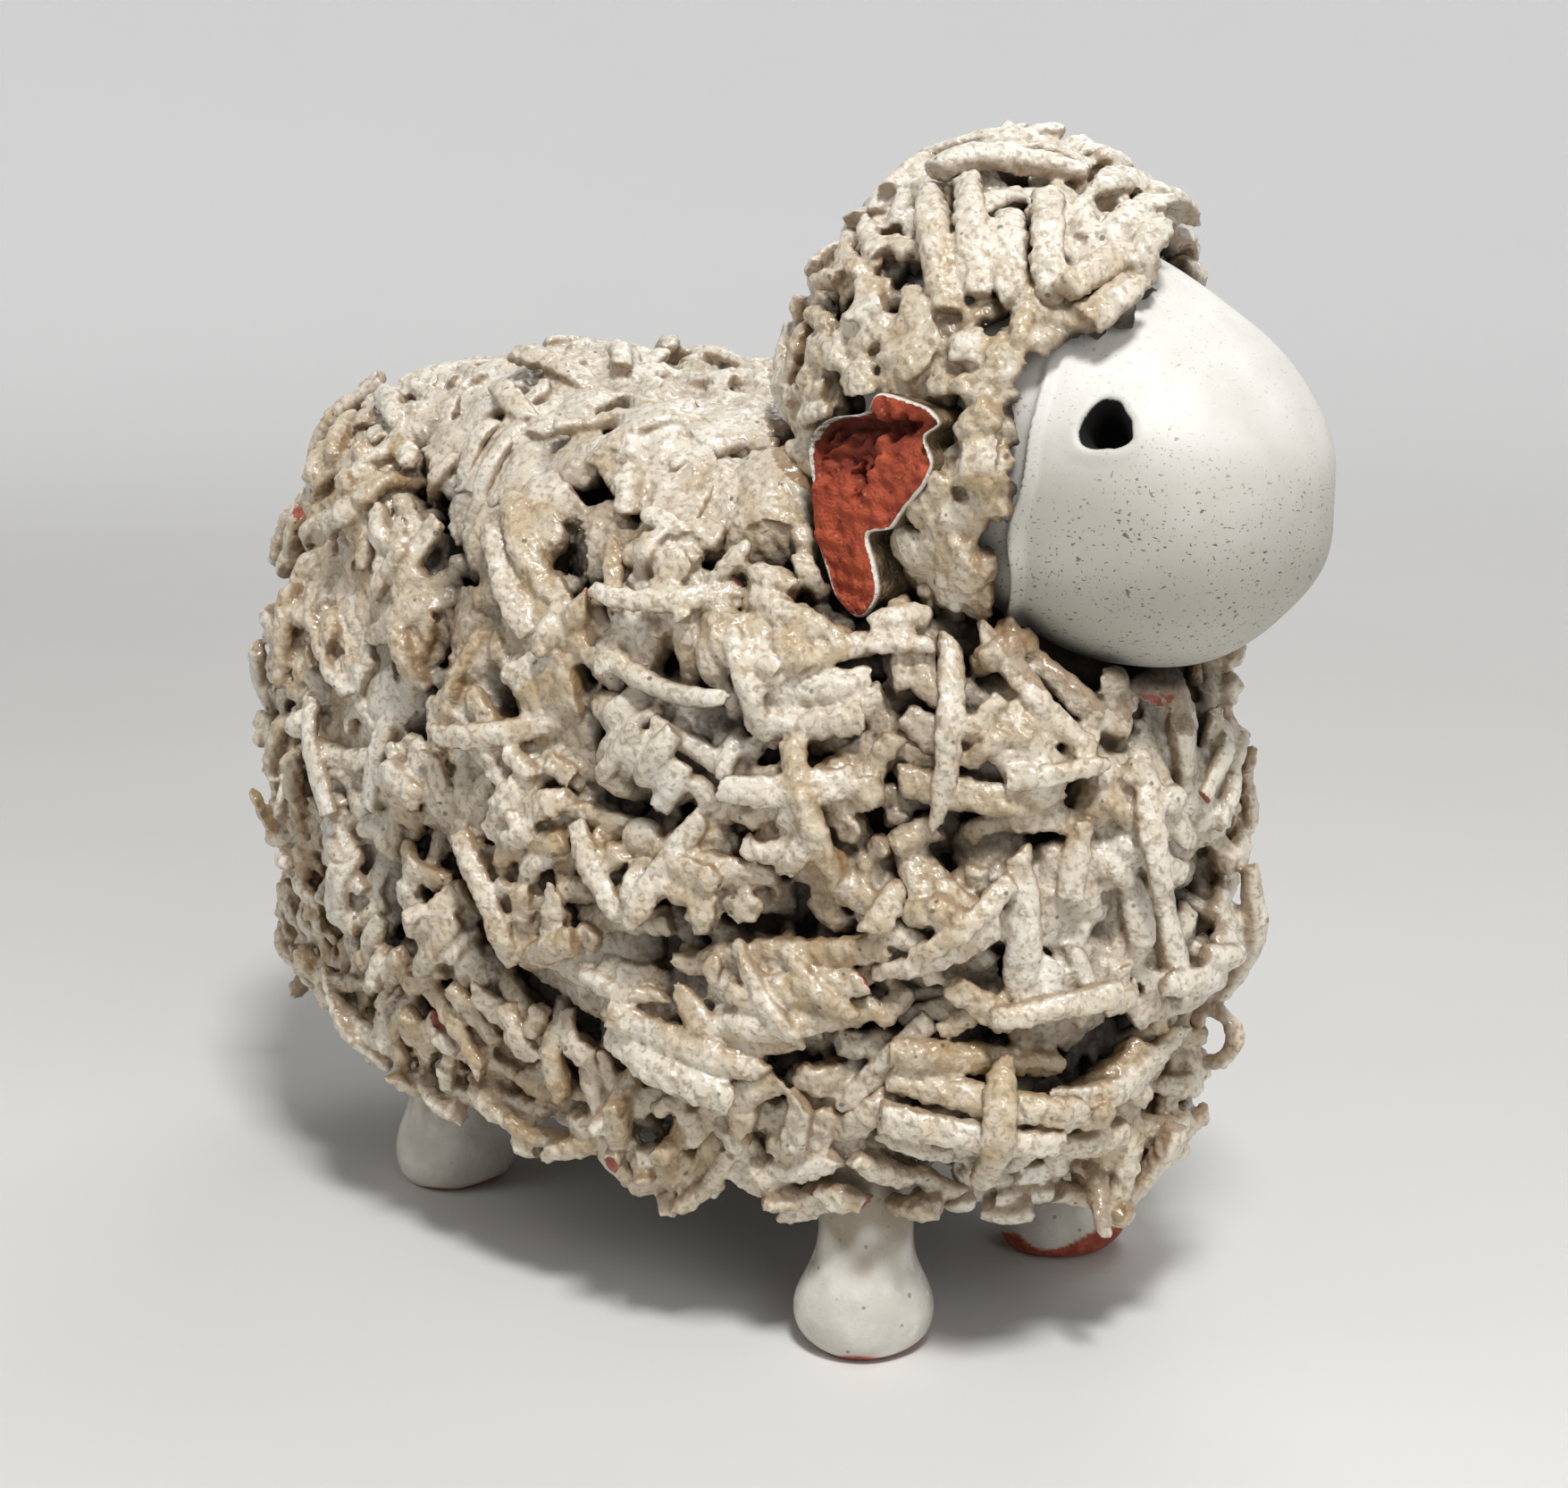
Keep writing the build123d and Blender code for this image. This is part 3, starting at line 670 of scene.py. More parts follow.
def make_scar():
    """The root with its outer face broken open: stepped, split along the top and pitted."""
    middle, face = scar_place()
    outline = rounded(SCAR_OUTLINE, SCAR_BEND_STEPS)
    block = prism("ear_scar_right", outline + middle, face, face + SCAR_ROOT)
    mesh = fused(block, SCAR_VOXEL, SCAR_SOFTEN)
    points, _ = points_of(mesh)
    spots = points[:, [0, 2]] - middle
    rim = line_distance(spots, np.concatenate([outline, outline[:1]]))
    broken = smooth(*SCAR_RIM, rim) * smooth(1.0, 0.6, points[:, 1] - face)
    ragged = spots + SCAR_RAG * np.stack([lumps(points, 1.4, 31), lumps(points, 1.6, 32)], axis=1)
    sunk = CRACK_DEPTH * smooth(CRACK_WIDTH, 0.15, line_distance(ragged, CRACK_LINE))
    above = ragged[:, 1] - np.interp(ragged[:, 0], *np.transpose(STEP_LINE))
    sunk += STEP_DEPTH * smooth(-0.15, 0.25, above) * smooth(1.2, 0.2, ragged[:, 0])
    sunk += SLOPE_DEPTH * smooth(1.2, 3.6, ragged[:, 1]) * smooth(4.8, 4.2, ragged[:, 1])
    for line in LEDGE_LINES:
        sunk += LEDGE_DEPTH * smooth(LEDGE_WIDTH, 0.05, line_distance(ragged, line))
    sunk += PIT_DEPTH * smooth(-0.05, 0.35, inside_corners(ragged, PIT_CORNERS))
    grit = SCAR_GRIT_HEIGHT * lumps(points, SCAR_GRIT_SIZE, 34)
    grit = grit + SCAR_HUMP_HEIGHT * lumps(points, SCAR_HUMP_SIZE, 33)
    points[:, 1] += broken * (np.minimum(sunk, MOST_SUNK) + grit)
    put_points(mesh, points)
    note(mesh, "broken", broken)
    note(mesh, "wall", smooth(0.15, WALL_EDGE, points[:, 1] - face) * (rim < SCAR_RIM[1]))
    note(mesh, "sunk", np.clip(sunk / PIT_DEPTH, 0, 1))
    return mesh


def broken_clay():
    """Bare red earthenware, gritty with pale and dark grains and painted darker in its sunk crack, step and
    pit as their shade, inside a thin edge of white glaze whose side wall is painted dark brown as the shade
    of the gap beside it.
    """
    finish, wire = new_finish("broken_clay", paint(168, 76, 48))
    tone = wire.mottle(1.6, 4.0).above(0.3, 0.72)
    clay = tone.tint(paint(142, 52, 31), paint(190, 88, 54))
    clay = (wire.specks(0.5, 0.9, 0.42, 0.25) * 0.55).tint(clay, paint(222, 142, 104))
    clay = (wire.specks(0.65, 1.0, 0.36, 0.22) * 0.6).tint(clay, paint(84, 28, 17))
    # painted shade: the sunk crack, step and pit are darkened as their shade
    clay = (wire.noted("sunk") * 0.75).tint(clay, paint(66, 22, 14))
    glaze = wire.mottle(2.0, 3.0).tint(paint(222, 215, 200), paint(236, 232, 222))
    # painted shade: the side wall of the root is painted the dark brown of the shaded gap in the wool
    # beside it
    wool = wire.mottle(1.5, 4.0).above(0.35, 0.65).tint(paint(58, 44, 30), paint(120, 100, 74))
    glaze = wire.noted("wall").tint(glaze, wool)
    broken = wire.noted("broken").above(0.3, 0.42)
    feed(
        finish,
        base_color=broken.tint(glaze, clay),
        roughness=broken * 0.5 + 0.32,
        normal=wire.bump(wire.mottle(0.3, 4.0), 0.22, wire.bump(wire.mottle(0.9, 3.0), 0.35)),
    )
    return finish


set_piece("ear_scar_right", make_scar(), broken_clay(), "broken_clay", "ear_root_right")

# Left ear: a flat drop ear pinched from a slip of clay, luted to the head
# by its root and hanging outwards over the wool, under the same cream glaze.
EAR_VOXEL = 0.3
EAR_SOFTEN = 10
EAR_HUMP_SIZE = 5.0
EAR_HUMP_HEIGHT = 0.15
EAR_DISH = 0.9
EAR_MARGIN = 4


def make_ear():
    """The whole ear, thumbed hollow towards its tip."""
    mesh = fused(copy_of("ear_left"), EAR_VOXEL, EAR_SOFTEN)
    points, out = points_of(mesh)
    low, high = box_of("ear_left")
    middle = (low + high) / 2
    hang = smooth(high[2] - EAR_MARGIN, low[2] + EAR_MARGIN, points[:, 2])
    fold = 1 - 2 * np.clip(np.abs(points[:, 0] - middle[0]) / (high[0] - low[0]), 0, 1)
    points[:, 1] -= EAR_DISH * hang * fold
    points += out * (EAR_HUMP_HEIGHT * lumps(points, EAR_HUMP_SIZE, 41))[:, None]
    put_points(mesh, points)
    return mesh


def ear_glaze():
    """Cream glaze, browner where it thins, with a few specks."""
    finish, wire = new_finish("ear_glaze", paint(216, 206, 186))
    ground = wire.mottle(3.5, 4.0).above(0.35, 0.68).tint(paint(186, 170, 142), paint(226, 219, 205))
    feed(
        finish,
        base_color=(wire.specks(1.0, 1.1, 0.3, 0.2) * 0.6).tint(ground, paint(104, 84, 60)),
        roughness=wire.mottle(2.0) * 0.2 + 0.24,
        normal=wire.bump(wire.mottle(0.7, 3.0), 0.08),
    )
    return finish


obstacles.append(set_piece("ear_left_drop", make_ear(), ear_glaze(), "ear_glaze", "ear_left"))

# Fleece: clay pressed through a sieve, lifted off in tufts and dabbed on with slip.
# The strands lie in every direction, side by side and across each other, with dark gaps
# between. Cream glaze runs them together, white where it pools and brown where it is thin.
STRAND_POINTS = 9
STRAND_MIDDLE = STRAND_POINTS // 2
STRAND_SIDES = 12
STRAND_SPACING = 2.05
STRAND_SINK = 0.84
STRAND_LEAST = 0.55
STRAND_DROP = 7
STRAND_FLATS = (0.6, 1.0)
STRAND_BEND = 0.015
STRAND_STIFFNESS = 0.85
STRAND_REACH = 12.5
STRAND_TILT = 0.16
SKIRT_DROOP = 5.5
SKIRT_REACH = 31.6
SKIRT_FULLNESS = 5.5
SKIRT_TOP = 30.0
SKIRT_LOWEST_SLOPE = -0.6
BODY_LOWEST_SLOPE = -0.2
FLEECE_SEED = 17
FLEECE_VOXEL = 0.25
FLEECE_SOFTEN = 1
MELTED = {"wool_back": 7, "wool_cheek_right": 2, "wool_cheek_left": 2}
TORN_ENDS = 0.35
THINNED_ENDS = 0.35
WAVINESS = 0.07
UNEVENNESS = 0.04
LOBES = 0.07
END_BULGE = 0.1
BODY_TUFTS = 2000
BODY_BITS = 1900
SKIRT_TUFTS = 2200
TOP_TUFTS = 700
HEAD_TUFTS = 800
HEAD_BITS = 900
HEAD_TOP_TUFTS = 200
BODY_STUBS = 500
HANGING_STUBS = 300
LINING_PADS = 1500
LINING_HEIGHTS = (-1.6, -0.8)
HEAD_STUBS = 90
TUFT_MOST = 5
TUFT_SPREAD = 0.12
TUFT_STAGGER = 1.2
TUFT_SHARES = (0.75, 1.1)
TUFT_BEND = 0.035
CURLED_SHARE = 0.05
CURLED_BENDS = (0.25, 0.4)
BODY_PILE = 3.7
RUMP_PILE = 1.8
BASE_PILE = -1.3
TOP_PILE = 1.3
BIT_PILE = 0.6
HEAD_TOP_PILE = 0.4
PILE_ROLL = 0.8
PILE_ROLL_SIZE = 11.0
HEAD_PILE = 2.8
CROWN_PILE = 2.6
BODY_LENGTHS = (4.0, 10.0)
HEAD_LENGTHS = (3.5, 8.0)
BIT_LENGTHS = (2.0, 5.0)
TOP_LENGTHS = (5.0, 11.5)
MARKED_RADIUS = 1.15
MARKED_FLAT = 0.8
BODY_MARKED = (
    ((22.5, -20, 45), (30, -16.5, 46.5), 0.07, 1),
    ((31, -16, 47), (38.5, -8.5, 45), 0.0, 1),
    ((31.5, -15.5, 42), (35, -12, 34.5), 0.06, 1),
    ((37, -11, 42), (37.5, -9, 32), -0.03, 1),
    ((7, -24, 34), (15, -22.5, 35), 0.0, 1),
    ((18.5, -21, 30.5), (29.5, -16.5, 32.5), 0.0, 3),
    ((41, -3, 40), (40.5, -2, 32), 0.0, 2),
    ((-2.5, -21.5, 62), (4, -23.5, 56), 0.0, 2),
    ((17, -19.5, 59.5), (18, -21.5, 52.5), 0.0, 2),
)
SKIRT_MARKED = (
    ((29.5, -15, 25), (37, -7, 23.5), 0.0, 3),
    ((35, -10.5, 27), (34.5, -11, 18), 0.0, 1),
    ((11, -22.5, 26.5), (21.5, -19, 24), 0.0, 2),
)
HEAD_MARKED = (
    ((28.5, -7, 85.5), (33.5, -12, 79.5), 0.0, 2),
    ((34, -6.5, 84), (38, -10.5, 79), 0.0, 2),
    ((27.5, -7, 85.5), (33.5, -1, 86), 0.0, 2),
)
STUB_LENGTHS = (2.2, 4.0)
STUB_STAND = (-1.5, 0.4)
STUB_LEAN = 0.35
STUB_FLAT = 0.9
HANGING_LENGTHS = (2.0, 4.5)
HANGING_LEAN = 0.4
HANGING_ROOT = 1.0
THICKNESS = (0.74, 1.15)
COLLAR_RADIUS = 4.2
COLLAR_REACH = 8.0
COLLAR_FULLNESS = 6.0
COLLAR_HEIGHT = 15.0
COLLAR_TUFTS = 160
COLLAR_LENGTHS = (2.5, 6.0)
COLLAR_PILE = -2.0
COLLAR_TOP = 20.0
COLLAR_LOWEST = dict(zip(LEGS, (11.4, 12.0, 15.0, 15.0)))
CLUSTER_PLACE = (11.5, -18.6, 18.3)
CLUSTER_RADIUS = 5.5
CLUSTER_SPACING = 2.0
CLUSTER_TRIES = 6000
CLUSTER_STAND = (0.9, 1.8)
LOOP_PLACE = (38.0, 6.0, 25.0)
LOOP_STAND = 4.8
LOOP_RADIUS = 2.3
LOOP_THICKNESS = 0.7
LOOP_GAP = 0.3
POOL_SIZE = 24.0
POOL_SPOTS = (
    ((-6, -18.7, 66), 9.0), ((-1, -24.7, 46), 6.0), ((-15, -23.7, 46), 4.5), ((18, -21, 27), 7.0),
    ((22, -17, 20), 4.0), ((40.7, -2.6, 37), 5.0), ((12.5, -21, 59), 6.0), ((33.7, -14, 47.4), 4.0),
)
POOL_PADS = 900
POOL_RADII = (1.6, 2.6)
POOL_LENGTHS = (4.0, 8.0)
POOL_HEIGHTS = (0.8, 2.2)
POOL_TOP = 0.9
POOL_TOP_SPAN = (0.55, 0.9)
PAD_FLAT = 0.5
BED_PADS = 900
BED_HEIGHTS = (1.6, 3.0)
BED_SLOPE = 0.6
BED_HEIGHT = 47.0
BED_FRONT = 12.0
BED_END = 22.0
BED_SINK = 0.5
CHEEK_PADS = 2400
CHEEK_PIT_SIZE = 4.5
CHEEK_RADII = (0.9, 1.5)
CHEEK_LENGTHS = (1.5, 4.0)
CHEEK_HEIGHTS = (0.8, 2.8)
CRUST_SIZE = 1.5
CRUST_HEIGHT = 0.06
GRAIN_SIZE = 0.85
GRAIN_HEIGHT = 0.05
CHIP_SHARE = 0.012
CHIP_END_SPAN = (0.45, 0.75)
CHIP_HEIGHT_SPAN = (2.4, 3.2)
BACK_SLOPE = 0.7
END_SHARE = 0.78
FLANK_SHARE = 0.3
CROWN_SLOPE = 0.72
NAPE_SLOPE = 0.45
FRINGE_TOP = 24.0
HEM_SLOPE = -0.3
HEM_HEIGHT = 9.5
HEAD_DEPTH = 1.6

SKIRT = PotForm(
    BODY_CENTRE, SKIRT_DROOP, BODY_HALF_LENGTH, BODY_HALF_WIDTH,
    (SKIRT_REACH, BODY_REACHES[1]), (SKIRT_FULLNESS, BODY_FULLNESS[1]),
)
draw = np.random.default_rng(FLEECE_SEED)


def collar(node):
    """The top of a leg's shank, that the lowest strands are wrapped round."""
    x, y, _ = middle_of([node])
    ends, fullness = (COLLAR_REACH, COLLAR_REACH), (COLLAR_FULLNESS, COLLAR_FULLNESS)
    return PotForm([x, y, COLLAR_HEIGHT], 0, COLLAR_RADIUS, COLLAR_RADIUS, ends, fullness)


COLLARS = {collar(node): lowest for node, lowest in COLLAR_LOWEST.items()}


def laid_flat(headings, out):
    """Headings turned to run along a surface, by the ways out of it."""
    return unit(headings - out * np.sum(headings * out, axis=1, keepdims=True))


def walk(form, spots, out, heading, lengths, bends):
    """Lines walked over a form from their starts, bending as they go, and the ways out along them."""
    step = (lengths / (STRAND_POINTS - 1))[:, None]
    lines, ways = [spots], [out]
    for _ in range(STRAND_POINTS - 1):
        heading = laid_flat(heading, out)
        swing = bends[:, None] * step
        heading = heading * np.cos(swing) + np.cross(out, heading) * np.sin(swing)
        spots, out = form.drop_on(spots + heading * step)
        lines.append(spots)
        ways.append(out)
    return np.stack(lines, axis=1), np.stack(ways, axis=1)


def tufts(form, count, lengths):
    """Strands in tufts of a few, side by side: their lines on the form, ways out and radii."""
    spots, out = form.scatter(count, draw)
    size = draw.integers(1, TUFT_MOST + 1, count)
    tuft = np.repeat(np.arange(count), size)
    place = np.concatenate([np.arange(n) - (n - 1) / 2 for n in size])
    heading = laid_flat(draw.normal(size=(count, 3)), out)
    radii = draw.uniform(*THICKNESS, count)[tuft]
    many = len(tuft)
    across = np.cross(out, heading)[tuft]
    spread = heading[tuft] + across * draw.normal(0, TUFT_SPREAD, many)[:, None]
    beside = across * (place * STRAND_SPACING * radii)[:, None]
    stagger = heading[tuft] * draw.normal(0, TUFT_STAGGER, many)[:, None]
    starts, ways_out = form.drop_on(spots[tuft] + beside + stagger)
    long = draw.uniform(*lengths, count)[tuft] * draw.uniform(*TUFT_SHARES, many)
    bends = draw.normal(0, TUFT_BEND, count)[tuft] + draw.normal(0, STRAND_BEND, many)
    curled = draw.random(many) < CURLED_SHARE
    bends[curled] = draw.choice((-1, 1), curled.sum()) * draw.uniform(*CURLED_BENDS, curled.sum())
    lines, ways = walk(form, starts, ways_out, spread, long, bends)
    return lines, ways, radii


def chords():
    """For each stretch between two points of a strand, the shares of its ends at each point between."""
    shares = []
    for start in range(STRAND_POINTS):
        for end in range(start + 1, STRAND_POINTS):
            share = np.full((STRAND_POINTS, STRAND_POINTS), 0.0)
            t = np.linspace(0, 1, end - start + 1)
            share[start : end + 1, start] = 1 - t
            share[start : end + 1, end] = t
            shares.append(share)
    return np.array(shares)


CHORDS = chords()


class Pile:
    """The strands laid so far, and how high a new one comes to lie over them."""

    def __init__(self, room):
        self.count = 0
        self.lines = np.empty((room, STRAND_POINTS, 3))
        self.ways = np.empty((room, STRAND_POINTS, 3))
        self.radii = np.empty(room)
        self.flats = np.empty(room)
        self.locks = []

    def settle(self, line, ways, radius):
        """The height of each point of a strand that drops on the others, as stiff as soft clay is."""
        laid = self.lines[: self.count]
        apart = laid[:, STRAND_MIDDLE] - line[STRAND_MIDDLE]
        near = np.sum(apart**2, axis=1) < STRAND_REACH**2
        there = laid[near].reshape(-1, 3)
        thick = np.repeat(self.radii[: self.count][near] * self.flats[: self.count][near], STRAND_POINTS)
        least = np.full((STRAND_POINTS, 1), STRAND_LEAST * radius)
        apart = there[None] - line[:, None]
        over = np.einsum("ijk,ik->ij", apart, ways)
        room = (STRAND_SINK * (thick + radius)) ** 2 - (np.einsum("ijk,ijk->ij", apart, apart) - over**2)
        touched = (room > 0) & (np.abs(over) < STRAND_DROP)
        needed = np.where(touched, over + np.sqrt(np.maximum(room, 0)), 0)
        height = np.concatenate([needed, least], axis=1).max(axis=1)
        bridged = (CHORDS @ height).max(axis=0)
        height = height + (np.maximum(bridged, height) - height) * STRAND_STIFFNESS
        ends = np.pad(height, 1, mode="edge")
        return (ends[:-2] + 2 * height + ends[2:]) / 4

    def add(self, line, ways, radius, flat, lock):
        self.lines[self.count], self.ways[self.count] = line, ways
        self.radii[self.count], self.flats[self.count] = radius, flat
        self.locks.append(lock)
        self.count += 1


def body_lock(spot, out):
    """Which lock of the fleece a strand on the body belongs to."""
    side = "right" if spot[1] < ORIGIN[1] else "left"
    place = (spot[0] - BODY_CENTRE[0]) / BODY_HALF_LENGTH
    low = spot[2] < FRINGE_TOP
    if out[2] > BACK_SLOPE:
        return "wool_back"
    if abs(place) > END_SHARE:
        return ("fringe_front" if place > 0 else "fringe_rear") if low else (
            "wool_chest" if place > 0 else "wool_rump")
    if low:
        return f"fringe_{side}"
    if abs(place) > FLANK_SHARE:
        return f"wool_shoulder_{side}" if place > 0 else f"wool_haunch_{side}"
    return f"wool_flank_{side}"


def head_lock(spot, out):
    """Which lock of the fleece a strand on the head belongs to."""
    if out[2] > CROWN_SLOPE:
        return "wool_topknot"
    if out[0] < -NAPE_SLOPE:
        return "wool_nape"
    return "wool_cheek_right" if spot[1] < ORIGIN[1] else "wool_cheek_left"


def tree_of(piece):
    mesh = piece.data
    return BVHTree.FromPolygons([v.co for v in mesh.vertices], [p.vertices for p in mesh.polygons])


OBSTACLES = [tree_of(piece) for piece in obstacles]


def is_clear(points, gap):
    """True if points in millimetres keep a gap from the ears and legs."""
    for tree in OBSTACLES:
        for point in points[::2]:
            if tree.find_nearest(Vector(point * MM), gap * MM)[0] is not None:
                return False
    return True


def has_room(form, points, radius):
    """True if a settled strand stays off the face, the ears and the legs, and out of the other form."""
    other = BODY if form is HEAD else HEAD
    if other.height(points).min() < 0.7 * radius:
        return False
    over = HEAD.to_local(points)[:, 2] - face_edge(points) + 0.9 * radius
    if form is HEAD and over.max() > 0:
        return False
    if form is not HEAD and (over > 0).any() and HEAD.height(points[over > 0]).min() < radius + 0.4:
        return False
    return not is_in_scar(points, radius * 0.55) and is_clear(points, radius * 0.4)


def is_bedded(spots, out):
    """Where the strands are half drowned in glaze: on the back and high on the flanks."""
    on_back = (out[..., 2] > BED_SLOPE) & (spots[..., 0] < BED_END)
    return on_back | ((spots[..., 2] > BED_HEIGHT) & (spots[..., 0] < BED_FRONT))


def pile_limit(form, spot, out):
    """How high over a form the middle line of its topmost strands may lie."""
    if form is HEAD:
        return HEAD_PILE + CROWN_PILE * max(0.0, out[2]) ** 3
    roll = PILE_ROLL * lumps(spot[None], PILE_ROLL_SIZE, 53)[0] * min(1.0, 1.6 - out[2])
    return BODY_PILE + RUMP_PILE * max(0.0, -out[0]) + roll - BED_SINK * is_bedded(spot, out)


def is_on(form, line, way):
    """True if a strand lies on the part of a form that carries wool."""
    if form in COLLARS:
        return COLLARS[form] < line[:, 2].min() and line[:, 2].max() < COLLAR_TOP
    if form is SKIRT:
        return line[:, 2].max() < SKIRT_TOP and way[:, 2].min() > SKIRT_LOWEST_SLOPE
    return form is HEAD or way[:, 2].min() > BODY_LOWEST_SLOPE


def lay(pile, form, count, lengths, lock_of, more=0.0):
    """Drops tufts of strands on a form until its pile is as high as it may be."""
    lines, ways, radii = tufts(form, count, lengths)
    flats = draw.uniform(*STRAND_FLATS, len(lines))
    tilts = draw.normal(0, STRAND_TILT, len(lines))
    for line, way, radius, flat, tilt in zip(lines, ways, radii, flats, tilts):
        if not is_on(form, line, way):
            continue
        height = pile.settle(line, way, radius * flat)
        middle, out = line[STRAND_MIDDLE], way[STRAND_MIDDLE]
        if height.max() > pile_limit(form, middle, out) + more:
            continue
        height = height + tilt * np.linspace(-0.5, 0.5, STRAND_POINTS) * np.linalg.norm(line[-1] - line[0])
        settled = line + way * height[:, None]
        if has_room(form, settled, radius):
            pile.add(settled, way, radius, flat, lock_of(middle, out))


def lay_marked(pile, form, marked, lock_of):
    """Lays the strands that stand out most in the picture, each with its ends, bend and neighbours."""
    for start, end, bend, count in marked:
        way = unit(np.array(end) - start)
        _, out = form.drop_on(ORIGIN + np.array([start]))
        places = (np.arange(count) - (count - 1) / 2) * STRAND_SPACING * MARKED_RADIUS
        spots, outs = form.drop_on(ORIGIN + start + places[:, None] * np.cross(out, way))
        long = np.full(count, np.linalg.norm(np.array(end) - start)) * draw.uniform(0.9, 1.1, count)
        lines, ways = walk(form, spots, outs, np.tile(way, (count, 1)), long, np.full(count, bend))
        for line, out_along in zip(lines, ways):
            settled = line + out_along * pile.settle(line, out_along, MARKED_RADIUS * MARKED_FLAT)[:, None]
            lock = lock_of(line[STRAND_MIDDLE], out_along[STRAND_MIDDLE])
            pile.add(settled, out_along, MARKED_RADIUS, MARKED_FLAT, lock)


def cluster():
    """Spots close together at the hem, where a bunch of strands was stuck on end first."""
    spots, out = SKIRT.scatter(CLUSTER_TRIES, draw)
    chosen = []
    for i in np.flatnonzero(np.linalg.norm(spots - ORIGIN - CLUSTER_PLACE, axis=1) < CLUSTER_RADIUS):
        if all(np.linalg.norm(spots[i] - spots[j]) > CLUSTER_SPACING for j in chosen):
            chosen.append(i)
    return spots[chosen], out[chosen]


def loose_ends(lean, lengths):
    """The ways across some leaning ends, with their lengths and radii."""
    across = unit(np.cross(lean, draw.normal(size=lean.shape)))
    return across, draw.uniform(*lengths, len(lean)), draw.uniform(*THICKNESS, len(lean))


def add_stubs(pile, form, spots, ways, lock_of, stand=STUB_STAND):
    """Short ends that stand out of the fleece at some spots."""
    leans = unit(ways + draw.normal(0, STUB_LEAN, ways.shape))
    ends = zip(spots, ways, leans, *loose_ends(leans, STUB_LENGTHS))
    for spot, out, lean, across, long, radius in ends:
        top = pile_limit(form, spot, out) + draw.uniform(*stand)
        line = spot + out * top + np.linspace(-long, 0, STRAND_POINTS)[:, None] * lean
        if is_on(form, line, out[None]) and has_room(form, line, radius):
            pile.add(line, across, radius, STUB_FLAT, lock_of(spot, out))


def add_loop(pile, lock_of):
    """A strand curled into a loop that stands out of the chest."""
    spots, outs = BODY.drop_on(ORIGIN + np.array([LOOP_PLACE]))
    spot, out = spots[0], outs[0]
    across = unit(np.cross(out, [0, 0, 1]))
    turn = np.linspace(LOOP_GAP, 2 * math.pi - LOOP_GAP, STRAND_POINTS)[:, None]
    ring = np.cross(across, out) * np.sin(turn) - out * np.cos(turn)
    line = spot + out * LOOP_STAND + LOOP_RADIUS * ring
    pile.add(line, across, LOOP_THICKNESS, 1.0, lock_of(spot, out))


def add_hanging(pile, form, count, lock_of):
    """Loose ends that hang from the hem of the fleece."""
    spots, ways = form.scatter(count, draw)
    leans = unit(draw.normal(0, HANGING_LEAN, (count, 3)) + ways * [0.5, 0.5, 0] - [0, 0, 1])
    ends = zip(spots, ways, leans, *loose_ends(leans, HANGING_LENGTHS))
    for spot, out, lean, across, long, radius in ends:
        start = spot + out * draw.uniform(0, pile_limit(form, spot, out))
        line = start + np.linspace(-HANGING_ROOT, long, STRAND_POINTS)[:, None] * lean
        at_hem = SKIRT_LOWEST_SLOPE < out[2] < HEM_SLOPE and spot[2] < SKIRT_TOP
        if at_hem and line[:, 2].min() > HEM_HEIGHT and has_room(form, line, radius):
            pile.add(line, across, radius, STUB_FLAT, lock_of(spot, out))


def pooling(points):
    """Where the glaze pools: from 0, thin, to 1, thick and white."""
    pool = smooth(0.4, 1.3, lumps(points, POOL_SIZE, 51))
    for place, radius in POOL_SPOTS:
        ragged = np.linalg.norm(points - ORIGIN - place, axis=1) + lumps(points, 5.0, 52)
        pool = np.maximum(pool, smooth(radius, 0.5 * radius, ragged))
    return pool


def is_pooled(spots, out):
    """Where the glaze is thick enough to bed the strands in."""
    return pooling(spots) > 0.5


def is_anywhere(spots, out):
    """All over."""
    return np.full(len(spots), True)


def is_walled(spots, out):
    """Where slip was dabbed on the cheeks, in walls with open pits between them."""
    x, y, station = HEAD.to_local(spots).T / HEAD_RADIUS
    cheek = (np.abs(y) > 0.5) & (station > -0.1) & (x > -0.45) & (x < 0.75)
    return cheek & (lumps(spots, CHEEK_PIT_SIZE, 71) > 0.1)


def add_pads(pile, form, count, lock_of, chosen, heights, radii=POOL_RADII, lengths=POOL_LENGTHS):
    """Low pads of slip and glaze that the strands are bedded in, where they are chosen to be."""
    spots, out = form.scatter(count, draw)
    keep = chosen(spots, out)
    spots, out = spots[keep], out[keep]
    many = len(spots)
    heading, long = draw.normal(size=(many, 3)), draw.uniform(*lengths, many)
    lines, ways = walk(form, spots, out, heading, long, np.zeros(many))
    for line, way, radius in zip(lines, ways, draw.uniform(*radii, many)):
        raised = line + way * draw.uniform(*heights)
        if is_on(form, line, way) and has_room(form, raised, 0.5 * radius):
            pile.add(raised, way, radius, PAD_FLAT, lock_of(line[0], way[0]))


